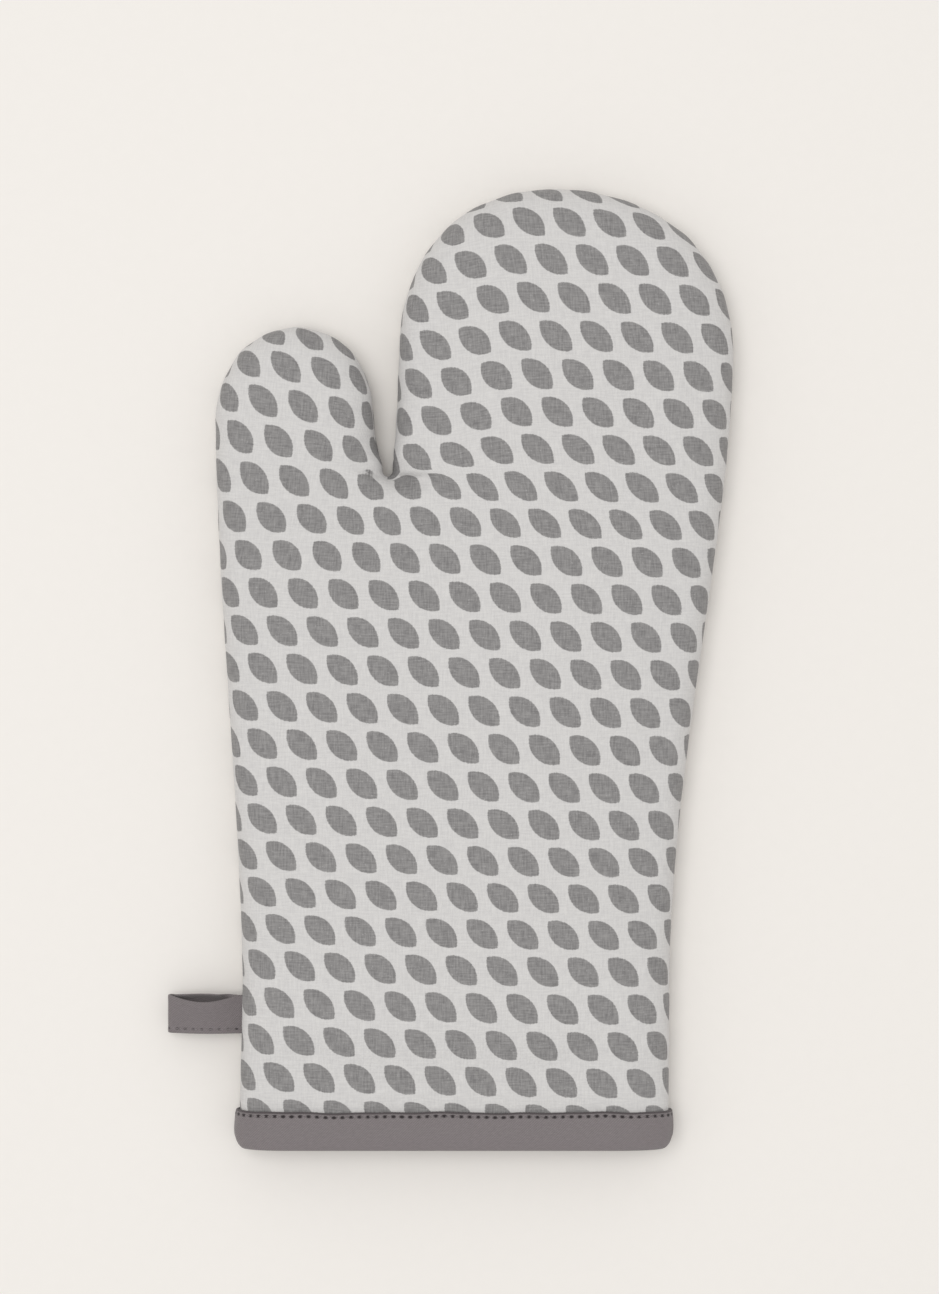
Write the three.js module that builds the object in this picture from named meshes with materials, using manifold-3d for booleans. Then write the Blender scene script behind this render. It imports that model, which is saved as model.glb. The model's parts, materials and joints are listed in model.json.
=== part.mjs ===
// A padded oven mitt, lying flat with its printed front up and its back on the table.
// Millimetres. +X to the right, +Y from the cuff towards the fingertips, +Z up.
// Two outer panels, two sheets of wadding and two lining panels are each a profile carried round
// the outline of the mitt. A tape binds the cuff, a folded strip makes the hanging loop, and every
// seam has its two threads.
import * as THREE from 'three';
import { mergeVertices } from 'three/addons/utils/BufferGeometryUtils.js';
import Module from 'manifold-3d';

const wasm = await Module();
wasm.setup();

// ---- Outline, seen from above ----
const mittLength = 330; // bound cuff edge to fingertips
const cuffWidth = 148; // outer panels at the cuff, side seam to side seam
const handWidth = 115; // across the finger part at its widest
const handRight = 96.3; // right-hand side of the finger part, from the middle of the cuff
const handPeak = 34; // where the finger part is tallest
const handShoulder = 274; // where the sides of the finger part start to turn into its tip
const thumbWidth = 54.5; // thumb part, left side to crotch side
const thumbRight = -27.5; // crotch side of the thumb part
const thumbPeak = -54; // where the thumb part is tallest
const thumbTip = 282.5; // height of the thumb's tip above the cuff edge
const thumbShoulder = 250; // where the sides of the thumb part start to turn into its tip
const crotchX = -22.7; // lowest point of the gap between thumb and fingers
const crotchY = 231.3;
const crotchRadius = 2.2;
const waistY = 55; // end of the straight sleeve, where both sides start to flare
const waistLeft = -72.6;
const waistRight = 74.3;

// ---- Section, side seam to flat middle ----
const seamHeight = 9.5; // side seam above the table
const crownHeight = 13.5; // top of the front above the side seam
const edgeRound = 20; // width over which the edge turns into the flat middle
const edgeFullness = 0.8; // 1 is an ellipse, and less is squarer
const clothThick = 0.5; // printed cotton and lining cotton
const waddingThick = 4; // in the middle of each wall
const layerGap = 0.3; // air between neighbouring layers
const outerAllowance = 3.7; // seam allowance turned in at the side seam
const liningAllowance = 3; // seam allowance turned out at the lining seam
const threadThick = 0.4;
const threadClear = 0.15; // air under a thread
const threadRoom = 0.9; // height left for a thread between allowance and wadding

// ---- Cuff, which the binding pulls together ----
const cuffSqueeze = 0.8; // height of the cuff against the height of the body
const threadOffTable = 0.32; // the binding's thread clears the table by this
const squeezeStart = 15; // squeezed up to here,
const squeezeEnd = 45; // and back to full height here
const bindingHeight = 13.4;
const bindingInside = 12.4; // height of the leg that lies on the lining
const bindingThick = 1;
const bindingFlare = 0.6; // the tape stands out to the sides near its fold
const stitchInset = 1.7; // binding's upper edge to its row of stitches

// ---- Hanging loop, a folded strip sewn into the left side seam ----
const loopY = 45.8; // middle of the loop above the cuff edge
const loopWidth = 13.2;
const loopReach = 24.2; // pivot to fold
const loopPly = 0.8;
const loopOpening = 6.4; // widest gap between the two plies
const loopFoldRadius = 2.4; // outside of the fold
const loopDroop = 8; // degrees below level
const loopPivotOut = 1; // pivot line outside the side seam
const loopTabThick = 1; // both plies, pressed flat in the seam
const loopStitchInset = 1.7; // strip's sewn edge to its row of stitches

const quarterSteps = 4;
const wall = 2 * clothThick + waddingThick + 2 * layerGap;
const sideWall = 2 * clothThick + outerAllowance + layerGap + liningAllowance; // seam to lining seam
const bindingOut = layerGap + bindingThick; // outer face of the tape, outside the printed panels
const cuffLift = cuffSqueeze * (bindingOut + threadClear + threadThick) + threadOffTable;
const seamGapHalf = layerGap / 2;
const stackStart = bindingThick + layerGap; // the layers stop short of the binding's fold
const handLeft = handRight - handWidth;
const thumbLeft = thumbRight - thumbWidth;

// ---------------------------------------------------------------- the outline

const point = (x, y) => new THREE.Vector2(x, y);

// A rounded corner from a to b that leaves a and reaches b along the axes of its box.
function corner(a, b, upFirst, fullness = 0.6) {
  const run = (b.x - a.x) * fullness;
  const rise = (b.y - a.y) * fullness;
  const first = upFirst ? point(a.x, a.y + rise) : point(a.x + run, a.y);
  const second = upFirst ? point(b.x - run, b.y) : point(b.x, b.y - rise);
  return new THREE.CubicBezierCurve(a, first, second, b);
}

// A side that leaves a and reaches b upright, and crosses over in between.
function side(a, b, early, late, lean) {
  const rise = b.y - a.y;
  const run = b.x - a.x;
  return new THREE.CubicBezierCurve(
    a, point(a.x + run * lean, a.y + rise * early), point(b.x - run * lean, b.y - rise * late), b);
}

const crotchTurn = 75; // degrees that the crotch turns to each side of straight down
const crotchCentre = point(crotchX, crotchY + crotchRadius);
const crotchEnd = (degrees) => point(
  crotchCentre.x + crotchRadius * Math.sin(THREE.MathUtils.degToRad(degrees)),
  crotchCentre.y - crotchRadius * Math.cos(THREE.MathUtils.degToRad(degrees)));

const waistL = point(waistLeft, waistY);
const waistR = point(waistRight, waistY);
const thumbL = point(thumbLeft, thumbShoulder);
const thumbTop = point(thumbPeak, thumbTip);
const thumbR = point(thumbRight, thumbShoulder);
const handL = point(handLeft, handShoulder);
const handTop = point(handPeak, mittLength);
const handR = point(handRight, handShoulder);
const stretches = [
  { curve: side(waistL, thumbL, 0.33, 0.33, 0.08), steps: 6 },
  { curve: corner(thumbL, thumbTop, true, 0.56), steps: 5 },
  { curve: corner(thumbTop, thumbR, false, 0.6), steps: 5 },
  { curve: new THREE.LineCurve(thumbR, crotchEnd(-crotchTurn)), steps: 2 },
  {
    curve: new THREE.EllipseCurve(crotchCentre.x, crotchCentre.y, crotchRadius, crotchRadius,
      THREE.MathUtils.degToRad(270 - crotchTurn), THREE.MathUtils.degToRad(270 + crotchTurn), false),
    steps: 4,
  },
  { curve: new THREE.LineCurve(crotchEnd(crotchTurn), handL), steps: 2 },
  { curve: corner(handL, handTop, true), steps: 7 },
  { curve: corner(handTop, handR, false), steps: 7 },
  { curve: side(handR, waistR, 0.28, 0.36, 0.02), steps: 7 },
];

// The sleeve's rows, from the cuff to the waist, where its height changes.
const cuffRows = [stackStart, squeezeStart, (2 * squeezeStart + squeezeEnd) / 3,
  (squeezeStart + 2 * squeezeEnd) / 3, squeezeEnd];

// Half the width of the sleeve at a height: its straight sides run from the cuff to the waist.
function sleeveSide(y, sign) {
  const waist = sign < 0 ? waistLeft : waistRight;
  return THREE.MathUtils.lerp(sign * cuffWidth / 2, waist, y / waistY);
}

// Points round the outline from the left of the cuff, over the thumb and fingers, to the right,
// each with the direction that leads into the mitt.
const outline = [];
for (const y of cuffRows) outline.push({ at: point(sleeveSide(y, -1), y), inward: point(1, 0) });
stretches.forEach(({ curve, steps }, index) => {
  const before = stretches[index - 1];
  for (let i = 0; i < steps; i++) {
    const tangent = curve.getTangent(i / steps);
    if (i === 0 && before) tangent.add(before.curve.getTangent(1)).normalize();
    if (i === 0 && !before) tangent.set(0, 1);
    outline.push({ at: curve.getPoint(i / steps), inward: point(tangent.y, -tangent.x) });
  }
});
outline.push({ at: waistR, inward: point(-1, 0) });
for (const y of [...cuffRows].reverse()) {
  outline.push({ at: point(sleeveSide(y, 1), y), inward: point(-1, 0) });
}
const last = outline.length - 1;

// ---------------------------------------------------------------- carrying a profile round it

// The cuff is squeezed and lifted, and the body is as drawn.
function settle(y, z) {
  const free = THREE.MathUtils.smoothstep(y, squeezeStart, squeezeEnd);
  return THREE.MathUtils.lerp(cuffLift + cuffSqueeze * z, z, free);
}

function place(sample, inset, z) {
  const x = sample.at.x + sample.inward.x * inset;
  const y = sample.at.y + sample.inward.y * inset;
  return new THREE.Vector3(x, y, settle(y, z));
}

// Triangles that fill a flat loop of vertex numbers, turned the way that the loop runs.
function fillLoop(indices, flat) {
  const loop = indices.map(flat);
  const sign = Math.sign(THREE.ShapeUtils.area(loop));
  return THREE.ShapeUtils.triangulateShape(loop, []).map((face) => {
    const turned = Math.sign(THREE.ShapeUtils.area(face.map((i) => loop[i]))) === sign;
    return (turned ? face : [...face].reverse()).map((i) => indices[i]);
  });
}

function closedGeometry(vertices, faces) {
  const geometry = new THREE.BufferGeometry().setFromPoints(vertices);
  geometry.setIndex(faces.flat());
  return geometry;
}

// Strips of triangles between rows of vertices: row r, place c is vertex r * width + c.
function strips(rows, width, closedRows, closedColumns) {
  const faces = [];
  for (let r = 0; r < rows - (closedRows ? 0 : 1); r++) {
    for (let c = 0; c < width - (closedColumns ? 0 : 1); c++) {
      const a = r * width + c;
      const b = r * width + (c + 1) % width;
      const d = ((r + 1) % rows) * width + c;
      const e = ((r + 1) % rows) * width + (c + 1) % width;
      faces.push([a, b, e], [a, e, d]);
    }
  }
  return faces;
}

// One layer of the mitt. Its profile, [inset, z] points, runs from the flat middle's outer face out
// to the seam and back to the flat middle's inner face, and the two faces are filled in flat.
function layer(profile) {
  const vertices = profile.flatMap(([inset, z]) => outline.map((sample) => place(sample, inset, z)));
  const width = outline.length;
  const faces = strips(profile.length, width, false, false);
  const seenFromAbove = (i) => point(vertices[i].x, vertices[i].y);
  const sleeve = cuffRows.length;
  const fillMiddle = (row) => {
    const filled = [];
    for (let j = 0; j < sleeve; j++) {
      const cell = [j, j + 1, last - j - 1, last - j];
      filled.push(...fillLoop(cell.map((i) => row * width + i), seenFromAbove));
    }
    const upper = outline.map((_, i) => i).slice(sleeve, last - sleeve + 1);
    return filled.concat(fillLoop(upper.map((i) => row * width + i), seenFromAbove));
  };
  const reversed = (list) => list.map((face) => [...face].reverse());
  faces.push(...reversed(fillMiddle(0)), ...fillMiddle(profile.length - 1));
  const rows = profile.map((_, row) => row * width);
  const mouth = [...rows, ...[...rows].reverse().map((i) => i + last)];
  faces.push(...fillLoop(mouth, (i) => point(vertices[i].x, vertices[i].z)));
  return closedGeometry(vertices, faces);
}

// A thread or cord whose section is a small closed loop of [inset, z] points.
function sideThread(section) {
  const vertices = outline.flatMap((sample) => section.map(([inset, z]) => place(sample, inset, z)));
  const start = section.map((_, i) => i);
  const end = start.map((i) => i + last * section.length);
  const acrossStart = (i) => point(vertices[i].x, vertices[i].z);
  const faces = strips(outline.length, section.length, false, true);
  const startCap = fillLoop(start, acrossStart).map((face) => [...face].reverse());
  faces.push(...startCap, ...fillLoop(end, acrossStart));
  return closedGeometry(vertices, faces);
}

// A quarter of the section, from the seam up to the flat middle. Depths are measured in from the
// outer face, sideways and upwards. All quarters share a centre and turn at the same angles, so
// they nest. Lift cuts the first chord off at that height above the seam.
function quarter(height, depthSide, depthUp, lift) {
  const turns = Array.from({ length: quarterSteps + 1 }, (_, i) => {
    const angle = (i / quarterSteps) * (Math.PI / 2);
    const across = Math.cos(angle) < 1e-9 ? 0 : Math.cos(angle) ** edgeFullness;
    const up = Math.sin(angle) ** edgeFullness;
    return [edgeRound - (edgeRound - depthSide) * across, (height - depthUp) * up];
  });
  const cut = lift / turns[1][1];
  turns[0] = [THREE.MathUtils.lerp(turns[0][0], turns[1][0], cut), lift];
  return turns;
}

// Turns heights above the seam plane into heights above the table, for the front or the back.
const frontCrown = crownHeight - seamGapHalf;
const backCrown = seamHeight - seamGapHalf;
const faced = (profile, isFront) => profile.map(([inset, up]) => [
  inset, isFront ? seamHeight + seamGapHalf + up : seamHeight - seamGapHalf - up]);

// ---------------------------------------------------------------- solids by manifold-3d

function toSolid(geometry) {
  const bare = new THREE.BufferGeometry();
  bare.setAttribute('position', geometry.getAttribute('position'));
  if (geometry.index) bare.setIndex(geometry.index);
  const merged = mergeVertices(bare, 1e-4);
  const vertProperties = new Float32Array(merged.attributes.position.array);
  const triVerts = new Uint32Array(merged.index.array);
  const solid = new wasm.Manifold(new wasm.Mesh({ numProp: 3, vertProperties, triVerts }));
  if (solid.volume() >= 0) return solid;
  const turned = triVerts.map((_, i) => triVerts[i % 3 === 2 ? i : i - (i % 3) + (1 - (i % 3))]);
  return new wasm.Manifold(new wasm.Mesh({ numProp: 3, vertProperties, triVerts: turned }));
}

function toGeometry(solid) {
  const mesh = solid.getMesh();
  const geometry = new THREE.BufferGeometry();
  geometry.setAttribute('position', new THREE.BufferAttribute(new Float32Array(mesh.vertProperties), 3));
  geometry.setIndex(new THREE.BufferAttribute(new Uint32Array(mesh.triVerts), 1));
  return geometry;
}

// ---------------------------------------------------------------- panels, wadding and lining

const cloth = { side: clothThick, up: clothThick };
const waddingStart = clothThick + threadRoom;
const allowanceEnd = clothThick + outerAllowance;
const liningFlangeEnd = sideWall - clothThick - liningAllowance;

function outerPanel(isFront) {
  const height = isFront ? frontCrown : backCrown;
  const outside = quarter(height, 0, 0, 0).reverse();
  const inside = quarter(height, cloth.side, cloth.up, clothThick);
  return layer(faced([...outside, [allowanceEnd, 0], [allowanceEnd, clothThick], ...inside], isFront));
}

function waddingSheet(isFront) {
  const height = isFront ? frontCrown : backCrown;
  const depth = clothThick + layerGap;
  const outside = quarter(height, depth, depth, waddingStart).reverse();
  const inside = quarter(height, sideWall - depth, wall - depth, waddingStart);
  return layer(faced([...outside, ...inside], isFront));
}

function liningPanel(isFront) {
  const height = isFront ? frontCrown : backCrown;
  const outside = quarter(height, sideWall - cloth.side, wall - cloth.up, clothThick).reverse();
  const inside = quarter(height, sideWall, wall, 0);
  const flange = [[liningFlangeEnd, clothThick], [liningFlangeEnd, 0]];
  return layer(faced([...outside, ...flange, ...inside], isFront));
}

function seamThread(inset, isFront) {
  const low = clothThick + threadClear;
  const half = threadThick / 2;
  const section = [
    [inset - half, low + half],
    [inset, low],
    [inset + half, low + half],
    [inset, low + threadThick],
  ];
  return sideThread(faced(section, isFront));
}

// ---------------------------------------------------------------- the binding round the mouth

// The mouth's section as a closed loop at a height, a depth in from the outer faces.
function mouthLoop(depthSide, depthUp, y) {
  const half = (isFront) => faced(quarter(isFront ? frontCrown : backCrown, depthSide, depthUp, 0), isFront);
  const front = half(true);
  const back = half(false);
  const left = ([inset, z]) => new THREE.Vector3(sleeveSide(y, -1) + inset, y, settle(y, z));
  const right = ([inset, z]) => new THREE.Vector3(sleeveSide(y, 1) - inset, y, settle(y, z));
  return [...front.map(left), ...[...front].reverse().map(right),
    ...back.map(right), ...[...back].reverse().map(left)];
}

// A closed section, of [depth sideways, depth upwards, y] points, carried round the mouth.
function mouthRing(section) {
  const loops = section.map(([depthSide, depthUp, y]) => mouthLoop(depthSide, depthUp, y));
  return closedGeometry(loops.flat(), strips(section.length, loops[0].length, true, true));
}

function binding() {
  const innerSide = sideWall + layerGap;
  const innerUp = wall + layerGap;
  const bend = 0.6; // how far the fold is rounded
  return mouthRing([
    [-bindingOut, -bindingOut, bindingHeight],
    [-bindingOut - bindingFlare, -bindingOut, bindingHeight / 3],
    [-bindingOut - bindingFlare, -bindingOut, bend],
    [-bindingOut - bindingFlare + bend, -bindingOut + bend, 0],
    [innerSide + bindingThick - bend, innerUp + bindingThick - bend, 0],
    [innerSide + bindingThick, innerUp + bindingThick, bend],
    [innerSide + bindingThick, innerUp + bindingThick, bindingInside],
    [innerSide, innerUp, bindingInside],
    [innerSide, innerUp, bindingThick],
    [-layerGap, -layerGap, bindingThick],
    [-layerGap, -layerGap, bindingHeight],
  ]);
}

// One thread of the binding's row of stitches: on the tape's outside, or inside the mouth.
function bindingThread(isOutside) {
  const y = bindingHeight - stitchInset;
  const half = threadThick / 2;
  const off = isOutside ? -(bindingOut + threadClear) : bindingOut + threadClear;
  const far = off + (isOutside ? -threadThick : threadThick);
  const [side0, up0] = isOutside ? [0, 0] : [sideWall, wall];
  // the tape flares below its upper edge, so the outer thread stands off by the flare at its height
  const flare = isOutside ? bindingFlare * (stitchInset / (bindingHeight * 2 / 3)) : 0;
  const at = (depth, height) => [side0 + depth - flare, up0 + depth, height];
  return mouthRing([at(off, y), at((off + far) / 2, y - half), at(far, y), at((off + far) / 2, y + half)]);
}

// ---------------------------------------------------------------- the hanging loop

// Half the loop's outer face, [out, up] from its pivot, from the root to the fold.
function loopFace(grow) {
  const steps = 12;
  const straight = loopReach - loopFoldRadius;
  const face = [];
  for (let i = 0; i <= steps; i++) {
    const along = i / steps;
    const belly = Math.sin(Math.PI * along) ** 1.2 * (loopOpening / 2);
    const half = THREE.MathUtils.lerp(loopPly, loopFoldRadius, along ** 2) + belly * (1 - 0.25 * along);
    face.push([straight * along, half + grow]);
  }
  return face;
}

function foldArc(radius) {
  const steps = 6;
  return Array.from({ length: steps - 1 }, (_, i) => {
    const angle = Math.PI / 2 - (Math.PI * (i + 1)) / steps;
    return [loopReach - loopFoldRadius + radius * Math.cos(angle), radius * Math.sin(angle)];
  });
}

const rootArc = (radius) => [150, 180, 210].map((degrees) => {
  const angle = THREE.MathUtils.degToRad(degrees);
  return [radius * Math.cos(angle), radius * Math.sin(angle)];
});

// Extrudes [out, up] points along Y between two heights, out to the left of the pivot.
function alongLoop(outer, holes, from, to) {
  const toPoints = (list) => list.map(([out, up]) => point(-out, up));
  const shape = new THREE.Shape(toPoints(outer));
  for (const hole of holes) shape.holes.push(new THREE.Path(toPoints(hole)));
  const geometry = new THREE.ExtrudeGeometry(shape, { depth: to - from, bevelEnabled: false });
  geometry.rotateX(Math.PI / 2);
  geometry.translate(0, to, 0);
  return geometry;
}

const mirrored = (face) => [...face].reverse().map(([out, up]) => [out, -up]);

function loopStrip() {
  const upper = loopFace(0);
  const outer = [...upper, ...foldArc(loopFoldRadius), ...mirrored(upper), ...rootArc(loopPly).reverse()];
  const inside = loopFace(-loopPly).slice(1);
  const hole = [[1, 0], ...inside, ...foldArc(loopFoldRadius - loopPly), ...mirrored(inside)];
  return alongLoop(outer, [hole], -loopWidth / 2, loopWidth / 2);
}

function loopStitch() {
  const start = 1; // leaves the root free to turn
  const near = loopFace(threadClear).slice(start);
  const far = loopFace(threadClear + threadThick).slice(start);
  const nearSide = [...near, ...foldArc(loopFoldRadius + threadClear), ...mirrored(near)];
  const farSide = [...far, ...foldArc(loopFoldRadius + threadClear + threadThick), ...mirrored(far)];
  const low = -loopWidth / 2 + loopStitchInset;
  return alongLoop([...nearSide, ...farSide.reverse()], [], low, low + threadThick);
}

// The side seam slants, so the loop is placed by the part of its width where the seam is furthest out.
const seamEdge = Math.min(sleeveSide(loopY - loopWidth / 2, -1), sleeveSide(loopY + loopWidth / 2, -1));

// The loop's two ends lie pressed together between the allowances of the side seam.
function loopTab() {
  const length = outerAllowance;
  const box = new THREE.BoxGeometry(length, loopWidth, loopTabThick);
  box.translate(seamEdge + clothThick + length / 2, loopY, seamHeight);
  return box;
}

// The panels and their allowances are notched round the loop's ends.
function loopSlot() {
  const from = seamEdge - clothThick;
  const to = seamEdge + allowanceEnd + layerGap;
  const slot = new THREE.BoxGeometry(to - from, loopWidth + 2 * layerGap, loopTabThick + 2 * layerGap);
  slot.translate((from + to) / 2, loopY, seamHeight);
  return toSolid(slot);
}

const slotted = (geometry) => toGeometry(toSolid(geometry).subtract(loopSlot()));

// ---------------------------------------------------------------- materials and assembly

const material = (color, roughness) => new THREE.MeshStandardMaterial({ color, roughness, metalness: 0 });
const printedCotton = material(0xb4b2b1, 0.9);
const liningCotton = material(0xe4e1db, 0.92);
const wadding = material(0xf1efea, 1);
const tapeCotton = material(0x7f7879, 0.88);
const tapeThread = material(0x5c5557, 0.7);
const seamCotton = material(0xd8d5d0, 0.7);

const mitt = new THREE.Group();
function add(name, geometry, finish, group = mitt) {
  const mesh = new THREE.Mesh(toGeometry(toSolid(geometry)), finish);
  mesh.name = name;
  group.add(mesh);
  return mesh;
}

for (const isFront of [true, false]) {
  const face = isFront ? 'front' : 'back';
  add(`${face}_outer_panel`, slotted(outerPanel(isFront)), printedCotton);
  add(`${face}_wadding`, waddingSheet(isFront), wadding);
  add(`${face}_lining`, liningPanel(isFront), liningCotton);
}

const threadOf = { true: 'needle', false: 'bobbin' };
const sideSeamInset = 1.9; // outer seam's row of stitches, in from the edge
const liningSeamInset = (liningFlangeEnd + sideWall - clothThick) / 2;
for (const isFront of [true, false]) {
  add(`side_seam_${threadOf[isFront]}_thread`, seamThread(sideSeamInset, isFront), seamCotton);
  add(`lining_seam_${threadOf[isFront]}_thread`, seamThread(liningSeamInset, isFront), seamCotton);
}

add('cuff_binding', binding(), tapeCotton);
add('binding_needle_thread', bindingThread(true), tapeThread);
add('binding_bobbin_thread', bindingThread(false), tapeThread);
add('loop_sewn_ends', loopTab(), tapeCotton);

const loop = new THREE.Group();
loop.position.set(seamEdge - loopPivotOut, loopY, seamHeight);
loop.rotation.y = THREE.MathUtils.degToRad(-loopDroop);
mitt.add(loop);
add('hanging_loop', loopStrip(), tapeCotton, loop);
add('loop_edge_thread', loopStitch(), tapeThread, loop);

// The frame's origin is the middle of the part's outline on the table.
const box = new THREE.Box3().setFromObject(mitt, true);
const middle = box.getCenter(new THREE.Vector3());
mitt.position.set(-middle.x, -middle.y, 0);

export default mitt;
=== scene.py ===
# %% [markdown]
# # A padded oven mitt, sewn as surfaces
# The mitt lies on its back on a pale table, with the printed front up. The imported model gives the
# frame: where the seams, the cuff and the loop are. Every visible piece is then worked out with
# numpy as a surface on a grid, in millimetres from the middle of the cuff's edge, and is put into
# the frame at the end.

# %% Load the frame
import json
import math
import bpy
import numpy as np
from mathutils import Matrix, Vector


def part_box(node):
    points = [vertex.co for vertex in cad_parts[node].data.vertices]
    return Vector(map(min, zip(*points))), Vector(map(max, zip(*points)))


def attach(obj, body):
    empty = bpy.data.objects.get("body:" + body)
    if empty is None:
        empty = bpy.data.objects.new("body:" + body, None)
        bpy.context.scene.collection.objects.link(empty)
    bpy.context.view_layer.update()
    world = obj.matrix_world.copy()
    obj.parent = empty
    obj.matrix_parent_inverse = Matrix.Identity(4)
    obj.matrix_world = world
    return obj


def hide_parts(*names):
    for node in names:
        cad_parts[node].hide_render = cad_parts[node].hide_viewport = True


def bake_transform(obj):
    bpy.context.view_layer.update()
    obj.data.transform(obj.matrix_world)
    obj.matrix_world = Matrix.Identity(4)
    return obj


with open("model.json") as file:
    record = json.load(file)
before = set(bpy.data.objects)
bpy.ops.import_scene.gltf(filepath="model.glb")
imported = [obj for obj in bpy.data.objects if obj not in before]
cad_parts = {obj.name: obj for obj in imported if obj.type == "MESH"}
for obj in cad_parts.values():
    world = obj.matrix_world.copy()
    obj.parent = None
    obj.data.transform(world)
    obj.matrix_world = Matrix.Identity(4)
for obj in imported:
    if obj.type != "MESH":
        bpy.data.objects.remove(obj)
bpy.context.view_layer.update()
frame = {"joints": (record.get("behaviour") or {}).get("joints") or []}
MM = 0.001
_, panel_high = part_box("front_outer_panel")
tape_low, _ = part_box("cuff_binding")
tab_low, tab_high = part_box("loop_sewn_ends")
pivot = np.array(frame["joints"][0]["pos_m"])

HAND_RIGHT = 96.3  # finger side of the mitt, from the middle of the cuff
CUFF = np.array([panel_high.x / MM - HAND_RIGHT, tape_low.y / MM, 0.0])
SEAM = (tab_low.z + tab_high.z) / 2 / MM
CROWN = panel_high.z / MM - SEAM
LENGTH = (panel_high.y - tape_low.y) / MM
print(f"seam {SEAM:.1f} mm up, front {CROWN:.1f} mm above it, mitt {LENGTH:.0f} mm long")

# %% [markdown]
# ## The camera and the light
# The camera looks straight down through a long lens, so the outline has no perspective to speak of.
# A pale sheet of paper is the table. Most of the light is an even sky, which gives the soft dark
# rim where the mitt meets the table. One wide lamp up on the thumb's side adds the direction.

# %% Camera, table and lamps
VIEW_TALL = 446.2  # millimetres of table that the camera takes in from top to bottom
VIEW_CENTRE = (5.5, 172.4)
LENS = 100.0
SENSOR = 36.0


def camera_above(x, y):
    """A camera over (x, y), as high as the lens needs to fit VIEW_TALL at the seam's height."""
    data = bpy.data.cameras.new("camera")
    data.lens = LENS
    data.sensor_width = SENSOR
    data.clip_end = 20
    camera = bpy.data.objects.new("camera", data)
    height = SEAM + VIEW_TALL * LENS / SENSOR
    camera.location = (np.array([x, y, height]) + CUFF) * MM
    bpy.context.scene.collection.objects.link(camera)
    bpy.context.scene.camera = camera
    return camera


def lamp(name, place, aim, size, watts):
    """A square area lamp at place, in metres, that faces aim."""
    data = bpy.data.lights.new(name, "AREA")
    data.size = size
    data.energy = watts
    light = bpy.data.objects.new(name, data)
    light.location = place
    direction = np.array(aim) - np.array(place)
    tilt = math.atan2(math.hypot(direction[0], direction[1]), -direction[2])
    light.rotation_euler = (tilt, 0, math.atan2(direction[0], -direction[1]) + math.pi)
    bpy.context.scene.collection.objects.link(light)


camera = camera_above(*VIEW_CENTRE)
lamp("window", place=(-0.34, 0.14, 2.25), aim=(0, 0, 0), size=1.3, watts=19.6)
world = bpy.data.worlds.new("studio")
world.use_nodes = True
world.node_tree.nodes["Background"].inputs["Color"].default_value = (1, 0.995, 0.985, 1)
world.node_tree.nodes["Background"].inputs["Strength"].default_value = 0.65
bpy.context.scene.world = world
bpy.context.scene.view_settings.view_transform = "Standard"
print("camera at", [round(v, 3) for v in camera.location])

# %% [markdown]
# ## Mesh and material helpers
# A surface comes out of numpy as an array of points and an array of faces, so one helper turns
# those into an object. Cloth patterns follow the cloth, so each point also carries its place on the
# flat cut, in millimetres, as the piece's UV map.

# %% Arrays into objects
def to_frame(points):
    """Points in millimetres from the cuff's middle, as metres in the frame."""
    return (np.asarray(points) + CUFF) * MM


def make_piece(name, points, faces, flat=None):
    """A smooth mesh object from points in mm and faces, with flat cut coordinates as its UV map."""
    faces = faces if isinstance(faces, list) else faces.tolist()
    mesh = bpy.data.meshes.new(name)
    mesh.from_pydata(to_frame(points).tolist(), [], faces)
    mesh.polygons.foreach_set("use_smooth", np.ones(len(faces), bool))
    if flat is not None:
        corners = np.zeros(len(mesh.loops), np.int32)
        mesh.loops.foreach_get("vertex_index", corners)
        layer = mesh.uv_layers.new(name="cloth")
        layer.data.foreach_set("uv", np.asarray(flat, np.float32)[corners].ravel())
    mesh.update()
    piece = bpy.data.objects.new(name, mesh)
    bpy.context.scene.collection.objects.link(piece)
    return piece


def grid_faces(ids):
    """Quads between the rows and columns of a grid of point numbers."""
    corners = [ids[:-1, :-1], ids[:-1, 1:], ids[1:, 1:], ids[1:, :-1]]
    return np.stack(corners, -1).reshape(-1, 4)


def walked(path):
    """How far along a path each of its points is: the lengths of its steps, summed."""
    return np.concatenate([[0], np.cumsum(np.linalg.norm(np.diff(path, axis=0), axis=1))])


def smoothstep(low, high, x):
    """0 below low, 1 above high, and a smooth S between."""
    t = np.clip((np.asarray(x, float) - low) / (high - low), 0, 1)
    return t * t * (3 - 2 * t)


def solidify(piece, thick):
    """Gives a sheet its thickness, on the side away from its face."""
    wall = piece.modifiers.new("thickness", "SOLIDIFY")
    wall.thickness = thick * MM
    wall.offset = -1
    wall.use_even_offset = True
    wall.thickness_clamp = 1.0


def subdivide(piece):
    """Smooths a piece by one subdivision, the same in the view and in the render."""
    smooth = piece.modifiers.new("smooth", "SUBSURF")
    smooth.levels = 1
    smooth.render_levels = 1


print("cuff's middle in the frame, in mm:", np.round(CUFF, 2))

# %% [markdown]
# ## The outline
# Both panels are cut to one outline. It is a chain of straight lines and Bezier curves, like a
# paper pattern drawn with a curve ruler: cuff, thumb side, thumb tip, crotch, fingertips and the
# finger side.

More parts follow.
